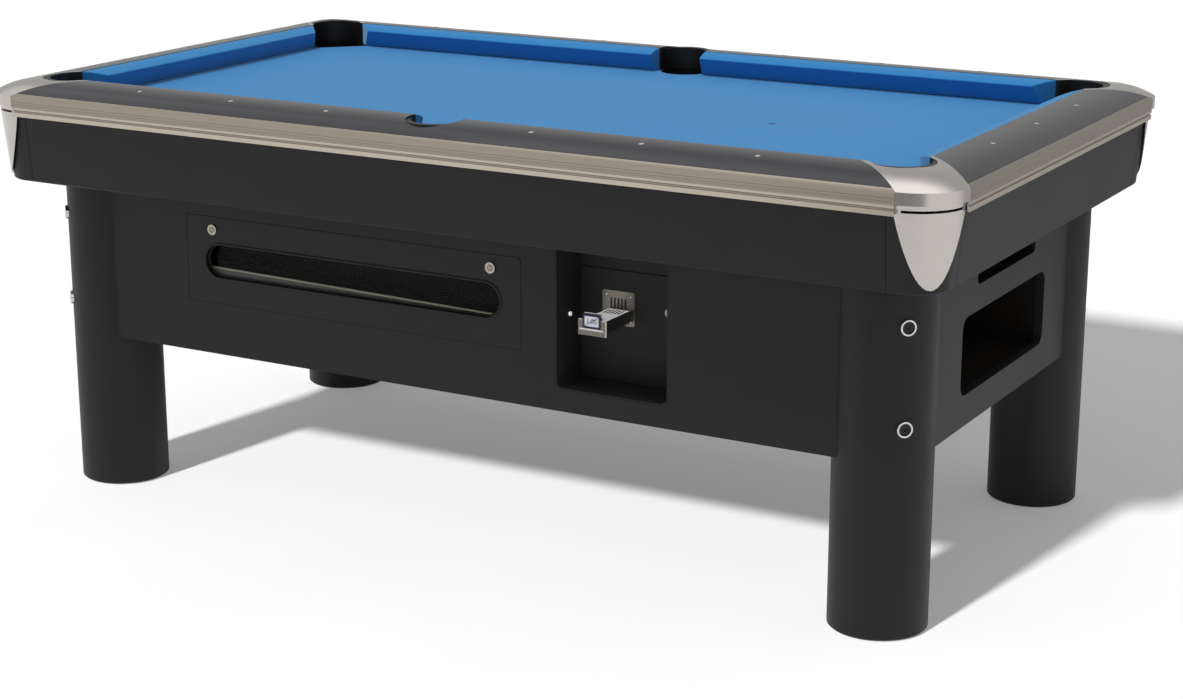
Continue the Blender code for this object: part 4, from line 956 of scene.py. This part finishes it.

# Trim
# Four aluminium extrusions round the rails, anodised champagne: a wide band with two fine reeds cut in,
# over a bead and a lip drawn in a lighter alloy as a painted highlight. Their sawn ends are dull against
# the corner castings, and their pale colour is partly painted light in the shade there.

# Anodised aluminium, warm and satin, with drawing lines along its length about 1.2 mm apart.
champagne, place = new_finish("champagne_anodised_aluminium")
along = add_node(champagne, "ShaderNodeMapping", {"Vector": place, "Scale": (0.1, 0.1, 1 / 0.0012)})
lines = add_node(
    champagne,
    "ShaderNodeTexNoise",
    {"Vector": along.outputs["Vector"], "Scale": 1.0, "Detail": 3.0, "Roughness": 0.6},
)
tone = add_node(
    champagne,
    "ShaderNodeMix",
    {0: lines.outputs["Fac"], 6: linear("#938b7f"), 7: linear("#9a9286")},
    data_type="RGBA",
)
gloss = add_node(
    champagne, "ShaderNodeMapRange", {"Value": lines.outputs["Fac"], "To Min": 0.3, "To Max": 0.38}
)
relief = add_node(
    champagne,
    "ShaderNodeBump",
    {"Height": lines.outputs["Fac"], "Strength": 0.06, "Distance": 0.0002},
)
add_node(
    champagne,
    "ShaderNodeBsdfPrincipled",
    {
        "Base Color": tone.outputs[2],
        "Metallic": 1.0,
        "Roughness": gloss.outputs["Result"],
        "Normal": relief.outputs["Normal"],
    },
)

# The same alloy, lighter along the bead and the lip as a painted highlight, with tool marks about 4 mm
# long.
highlight_alloy = worn_metal(
    "alloy_with_painted_highlight", "#b6aea0", size=0.004, detail=3.0, roughness=(0.28, 0.31)
)

REED_HEIGHTS = (0.8085, 0.8135)
REED_WIDTH = 0.0009
REED_DEPTH = 0.0006
HIGHLIGHT_BANDS = ((0.7975, 0.802), (0.780, 0.7925))  # heights of the bead and the lip

for side, outward in sides.items():
    outward = Vector(outward)
    trim = dress("trim_" + side, champagne)
    for height in REED_HEIGHTS:
        for shift in (-REED_WIDTH / 2, REED_WIDTH / 2):
            choose(trim, "FACE", lambda middle, normal: normal.dot(outward) > 0.9)
            bpy.ops.mesh.bisect(plane_co=(0, 0, height + shift), plane_no=(0, 0, 1))
    choose(
        trim,
        "FACE",
        lambda middle, normal: normal.dot(outward) > 0.9
        and any(abs(middle.z - height) < REED_WIDTH / 4 for height in REED_HEIGHTS),
    )
    bpy.ops.mesh.extrude_region_move(TRANSFORM_OT_translate={"value": -outward * REED_DEPTH})
    ease_edges(trim, 0.0002, 1)
    trim.data.materials.append(highlight_alloy)
    trim.data.materials.append(pale_alloy_and_light)
    # The bead and the lip take the lighter alloy as a painted highlight, and the sawn ends the pale
    # alloy, partly as painted light in their shade.
    for face in trim.data.polygons:
        bright = any(low < face.center.z < high for low, high in HIGHLIGHT_BANDS)
        facing = face.normal.dot(outward)
        face.material_index = 2 if facing < -0.5 else int(bright and facing > 0.5)

# Corner castings
# Satin-plated zinc castings that cap the four corners, each with a band, a slit and a tapering tongue
# down over the apron. They are bolted to the rails from below.

# Satin nickel over a zinc casting: pale and slightly warm, brushed to a soft mirror. The brushing is
# about 0.3 mm wide and is drawn at 1 mm, with a faint cloud from polishing about 40 mm across.
satin_nickel, place = new_finish("satin_nickel_casting")
brush = add_node(satin_nickel, "ShaderNodeTexNoise", {"Vector": place, "Scale": 1 / 0.001, "Detail": 3.0})
cloud = add_node(satin_nickel, "ShaderNodeTexNoise", {"Vector": place, "Scale": 1 / 0.04, "Detail": 3.0})
tone = add_node(
    satin_nickel,
    "ShaderNodeMix",
    {0: cloud.outputs["Fac"], 6: linear("#b4afa8"), 7: linear("#c1bcb5")},
    data_type="RGBA",
)
gloss = add_node(
    satin_nickel, "ShaderNodeMapRange", {"Value": cloud.outputs["Fac"], "To Min": 0.2, "To Max": 0.27}
)
relief = add_node(
    satin_nickel,
    "ShaderNodeBump",
    {"Height": brush.outputs["Fac"], "Strength": 0.05, "Distance": 0.0001},
)
add_node(
    satin_nickel,
    "ShaderNodeBsdfPrincipled",
    {
        "Base Color": tone.outputs[2],
        "Metallic": 1.0,
        "Roughness": gloss.outputs["Result"],
        "Normal": relief.outputs["Normal"],
    },
)

MOUTH_CENTRE = Matrix.Diagonal((0.9025, 0.458, 0.0))  # corner pocket's middle, for each way outward
for corner, outward in corners.items():
    casting = dress("corner_casting_" + corner, satin_nickel, 0.0004)
    across = Vector((-outward.y, outward.x, 0)) / 2
    line_mouth(
        casting,
        lambda point, normal: normal.dot(outward) < -0.2
        or (point - MOUTH_CENTRE @ outward).dot(across) * normal.dot(across) < -1e-4,
    )

# Aprons
# Boards that lean in under the trim, laminated like the cabinet, with a moulded corner piece between
# each pair. Screws through the rails from below hold them.

for side in sides:
    dress("apron_" + side, black_laminate, BOARD_EDGE)
for corner in corners:
    dress("apron_corner_" + corner, black_laminate, BOARD_EDGE)

# Pocket liners
# Six moulded rubber liners that catch the balls and turn them down a spout to the run. A rolled rim
# shows round the back of each pocket. Board blocks beside the corner liners fill in up to the cloth.

for row in ("front", "back"):
    for stand in ("left", "middle", "right"):
        dress(f"pocket_liner_{row}_{stand}", black_rubber, 0.0012, 3)

HALF_PLAY = Vector((0.889, 0.4445, 0))  # from the table's middle to the cushions' noses
BLOCK_WIDTH = 0.0764
BLOCK_DEPTH = 0.0382
BLOCK_OUT = 0.052  # long edge of a block behind the noses
BLOCK_SETBACK = 0.0649  # middle of a block from the corner of the noses
BLOCK_HEIGHTS = (0.789, 0.7982)  # foot and top

# A triangle drawn in a unit circle is sqrt(3) wide and 1.5 deep.
bpy.ops.object.select_all(action="DESELECT")
bpy.ops.mesh.primitive_cylinder_add(
    vertices=3,
    radius=1,
    depth=1,
    location=(0, BLOCK_DEPTH / 3, sum(BLOCK_HEIGHTS) / 2),
    scale=(BLOCK_WIDTH / sqrt(3), BLOCK_DEPTH / 1.5, BLOCK_HEIGHTS[1] - BLOCK_HEIGHTS[0]),
)
bpy.ops.object.transform_apply(location=True, rotation=True, scale=True)
block = bpy.context.object
ease_edges(block, 0.0004)
block.data.materials.append(plywood_and_painted_shade)
for side, outward in sides.items():
    outward = Vector(outward)
    along = Vector((abs(outward.y), abs(outward.x), 0))
    turn = (-outward).to_track_quat("Y", "Z").to_matrix().to_4x4()
    for number, end in enumerate((-1, 1), 1):
        spot = outward * (HALF_PLAY.dot(along.yxz) + BLOCK_OUT)
        spot += along * end * (HALF_PLAY.dot(along) - BLOCK_SETBACK)
        set_copy(block, f"pocket_block_{side}_{number}", Matrix.Translation(spot) @ turn, "table")
bpy.data.objects.remove(block)

# Cushions
# Six rubber cushions glued to the rails, their noses over the bed, with the bed's cloth drawn tight
# over them and tucked in at the seam and at the pockets.

for cushion in ("front_left", "front_right", "back_left", "back_right", "head", "foot"):
    dress("cushion_" + cushion, blue_cloth, 0.002, 4)

# Studio
# A plain white floor, soft light from above and an even sky. A low lamp lights the floor alone, to lay
# the long shadow, and a small one reaches into the coin recess. Satin and polished faces show a softbox
# overhead and two cards that light nothing.

FLOOR_SIZE = 60
FLOOR_LIFT = 0.22  # share of plain white in the floor that the camera sees
SKY_LIGHT = 0.35
KEY_LIGHT = 2.15
KEY_SPREAD = 20  # degrees across the lamp, as the table sees it
KEY_FALL = (0.1, 0.25, -1)  # the way the lamp's light goes
FLOOR_LIGHT = 6.0
FLOOR_SPREAD = 4
FLOOR_FALL = (0.2, 1.55, -1)
COIN_LIGHT = 3.6
COIN_SPREAD = 6
COIN_FALL = (-0.35, 0.85, -0.5)
CARDS = {  # light, width and height, and place of the middle of the foot
    "grey_card": (0.55, (18.0, 3.2), (-1.0, 1.75, 0.0)),
    "dark_card": (0.1, (2.65, 0.42), (1.375, -2.6, 0.2)),
}
SOFTBOX_LIGHT = 8.0
SOFTBOX_SPAN = (3.4, 1.0)
SOFTBOX_PLACE = (0.3, 0.4, 2.9)
CAMERA_PLACE = (2.3673, -4.0837, 1.6058)
CAMERA_DIP = 15.581  # degrees below level
CAMERA_TURN = 29.611  # degrees from looking straight back
CAMERA_LENS = 72.29  # millimetres


def when_shown(finish):
    """An output that is 1 for what the camera, a mirror or glass shows, and 0 for what only lights."""
    seen = add_node(finish, "ShaderNodeLightPath").outputs
    either = add_node(
        finish,
        "ShaderNodeMath",
        {0: seen["Is Camera Ray"], 1: seen["Is Glossy Ray"]},
        operation="MAXIMUM",
    )
    shown = add_node(
        finish,
        "ShaderNodeMath",
        {0: either.outputs["Value"], 1: seen["Is Transmission Ray"]},
        operation="MAXIMUM",
    )
    return shown.outputs["Value"]


def new_lamp(name, kind, light):
    """A lamp in the scene."""
    lamp = bpy.data.objects.new(name, bpy.data.lights.new(name, kind))
    bpy.context.scene.collection.objects.link(lamp)
    lamp.data.energy = light
    return lamp


def new_sun(name, light, spread, fall, state, pieces):
    """A far lamp that leaves some pieces out or lights them alone."""
    lamp = new_lamp(name, "SUN", light)
    lamp.data.angle = radians(spread)
    lamp.rotation_euler = Vector(fall).to_track_quat("-Z", "Y").to_euler()
    linked = lamp.light_linking.receiver_collection = bpy.data.collections.new(name)
    for piece in pieces:
        linked.objects.link(piece)
    for link in linked.collection_objects:
        link.light_linking.link_state = state
    return lamp


bpy.ops.object.select_all(action="DESELECT")
bpy.ops.mesh.primitive_plane_add(size=FLOOR_SIZE)
floor = bpy.context.object
floor.name = "studio_floor"

# Seamless white paper, dull, with a cloud about 500 mm across. It is lifted towards plain white where the
# camera, a mirror or glass shows it, and keeps the table's shadow.
white_floor, place = new_finish("white_studio_floor")
speck = add_node(white_floor, "ShaderNodeTexNoise", {"Vector": place, "Scale": 1 / 0.5})
tone = add_node(
    white_floor,
    "ShaderNodeMix",
    {0: speck.outputs["Fac"], 6: linear("#e0e0e0"), 7: linear("#e6e6e6")},
    data_type="RGBA",
)
matt = add_node(
    white_floor,
    "ShaderNodeBsdfPrincipled",
    {"Base Color": tone.outputs[2], "Roughness": 0.9, "Specular IOR Level": 0.0},
)
share = add_node(
    white_floor, "ShaderNodeMath", {0: when_shown(white_floor), 1: FLOOR_LIFT}, operation="MULTIPLY"
)
glow = add_node(white_floor, "ShaderNodeEmission", {"Color": linear("#ffffff"), "Strength": 1.0})
both = add_node(
    white_floor,
    "ShaderNodeMixShader",
    {0: share.outputs["Value"], 1: matt.outputs["BSDF"], 2: glow.outputs["Emission"]},
)
add_node(white_floor, "ShaderNodeOutputMaterial", {"Surface": both.outputs["Shader"]})
floor.data.materials.append(white_floor)

world = bpy.data.worlds.new("even_sky")
world.use_nodes = True
bpy.context.scene.world = world
level = add_node(
    world, "ShaderNodeMapRange", {"Value": when_shown(world), "To Min": SKY_LIGHT, "To Max": 1.0}
)
add_node(world, "ShaderNodeBackground", {"Color": linear("#ffffff"), "Strength": level.outputs["Result"]})

# Each card is evenly lit paper that stands upright and shows only in polished faces.
for name, (light, span, spot) in CARDS.items():
    bpy.ops.mesh.primitive_plane_add(
        size=1, location=Vector(spot) + Vector((0, 0, span[1] / 2)), rotation=(pi / 2, 0, 0)
    )
    card = bpy.context.object
    card.name, card.scale = name, (*span, 1)
    paper, place = new_finish(name + "_paper")
    glow = add_node(paper, "ShaderNodeEmission", {"Color": linear("#ffffff"), "Strength": light})
    add_node(paper, "ShaderNodeOutputMaterial", {"Surface": glow.outputs["Emission"]})
    card.data.materials.append(paper)
    card.visible_camera = card.visible_diffuse = card.visible_shadow = False
    card.visible_transmission = card.visible_volume_scatter = False

key = new_sun("soft_key", KEY_LIGHT, KEY_SPREAD, KEY_FALL, "EXCLUDE", (floor,))
key.visible_glossy = False
new_sun("floor_lamp", FLOOR_LIGHT, FLOOR_SPREAD, FLOOR_FALL, "INCLUDE", (floor,))
new_sun("coin_lamp", COIN_LIGHT, COIN_SPREAD, COIN_FALL, "INCLUDE", (slide, stud))

softbox = new_lamp("softbox", "AREA", SOFTBOX_LIGHT)
softbox.data.shape, softbox.data.size, softbox.data.size_y = "RECTANGLE", *SOFTBOX_SPAN
softbox.location = SOFTBOX_PLACE
softbox.visible_diffuse = False

camera = bpy.data.objects.new("camera", bpy.data.cameras.new("camera"))
bpy.context.scene.collection.objects.link(camera)
camera.location = CAMERA_PLACE
camera.rotation_euler = (radians(90 - CAMERA_DIP), 0, radians(CAMERA_TURN))
camera.data.lens = CAMERA_LENS
bpy.context.scene.camera = camera
bpy.context.scene.view_settings.view_transform = "Standard"
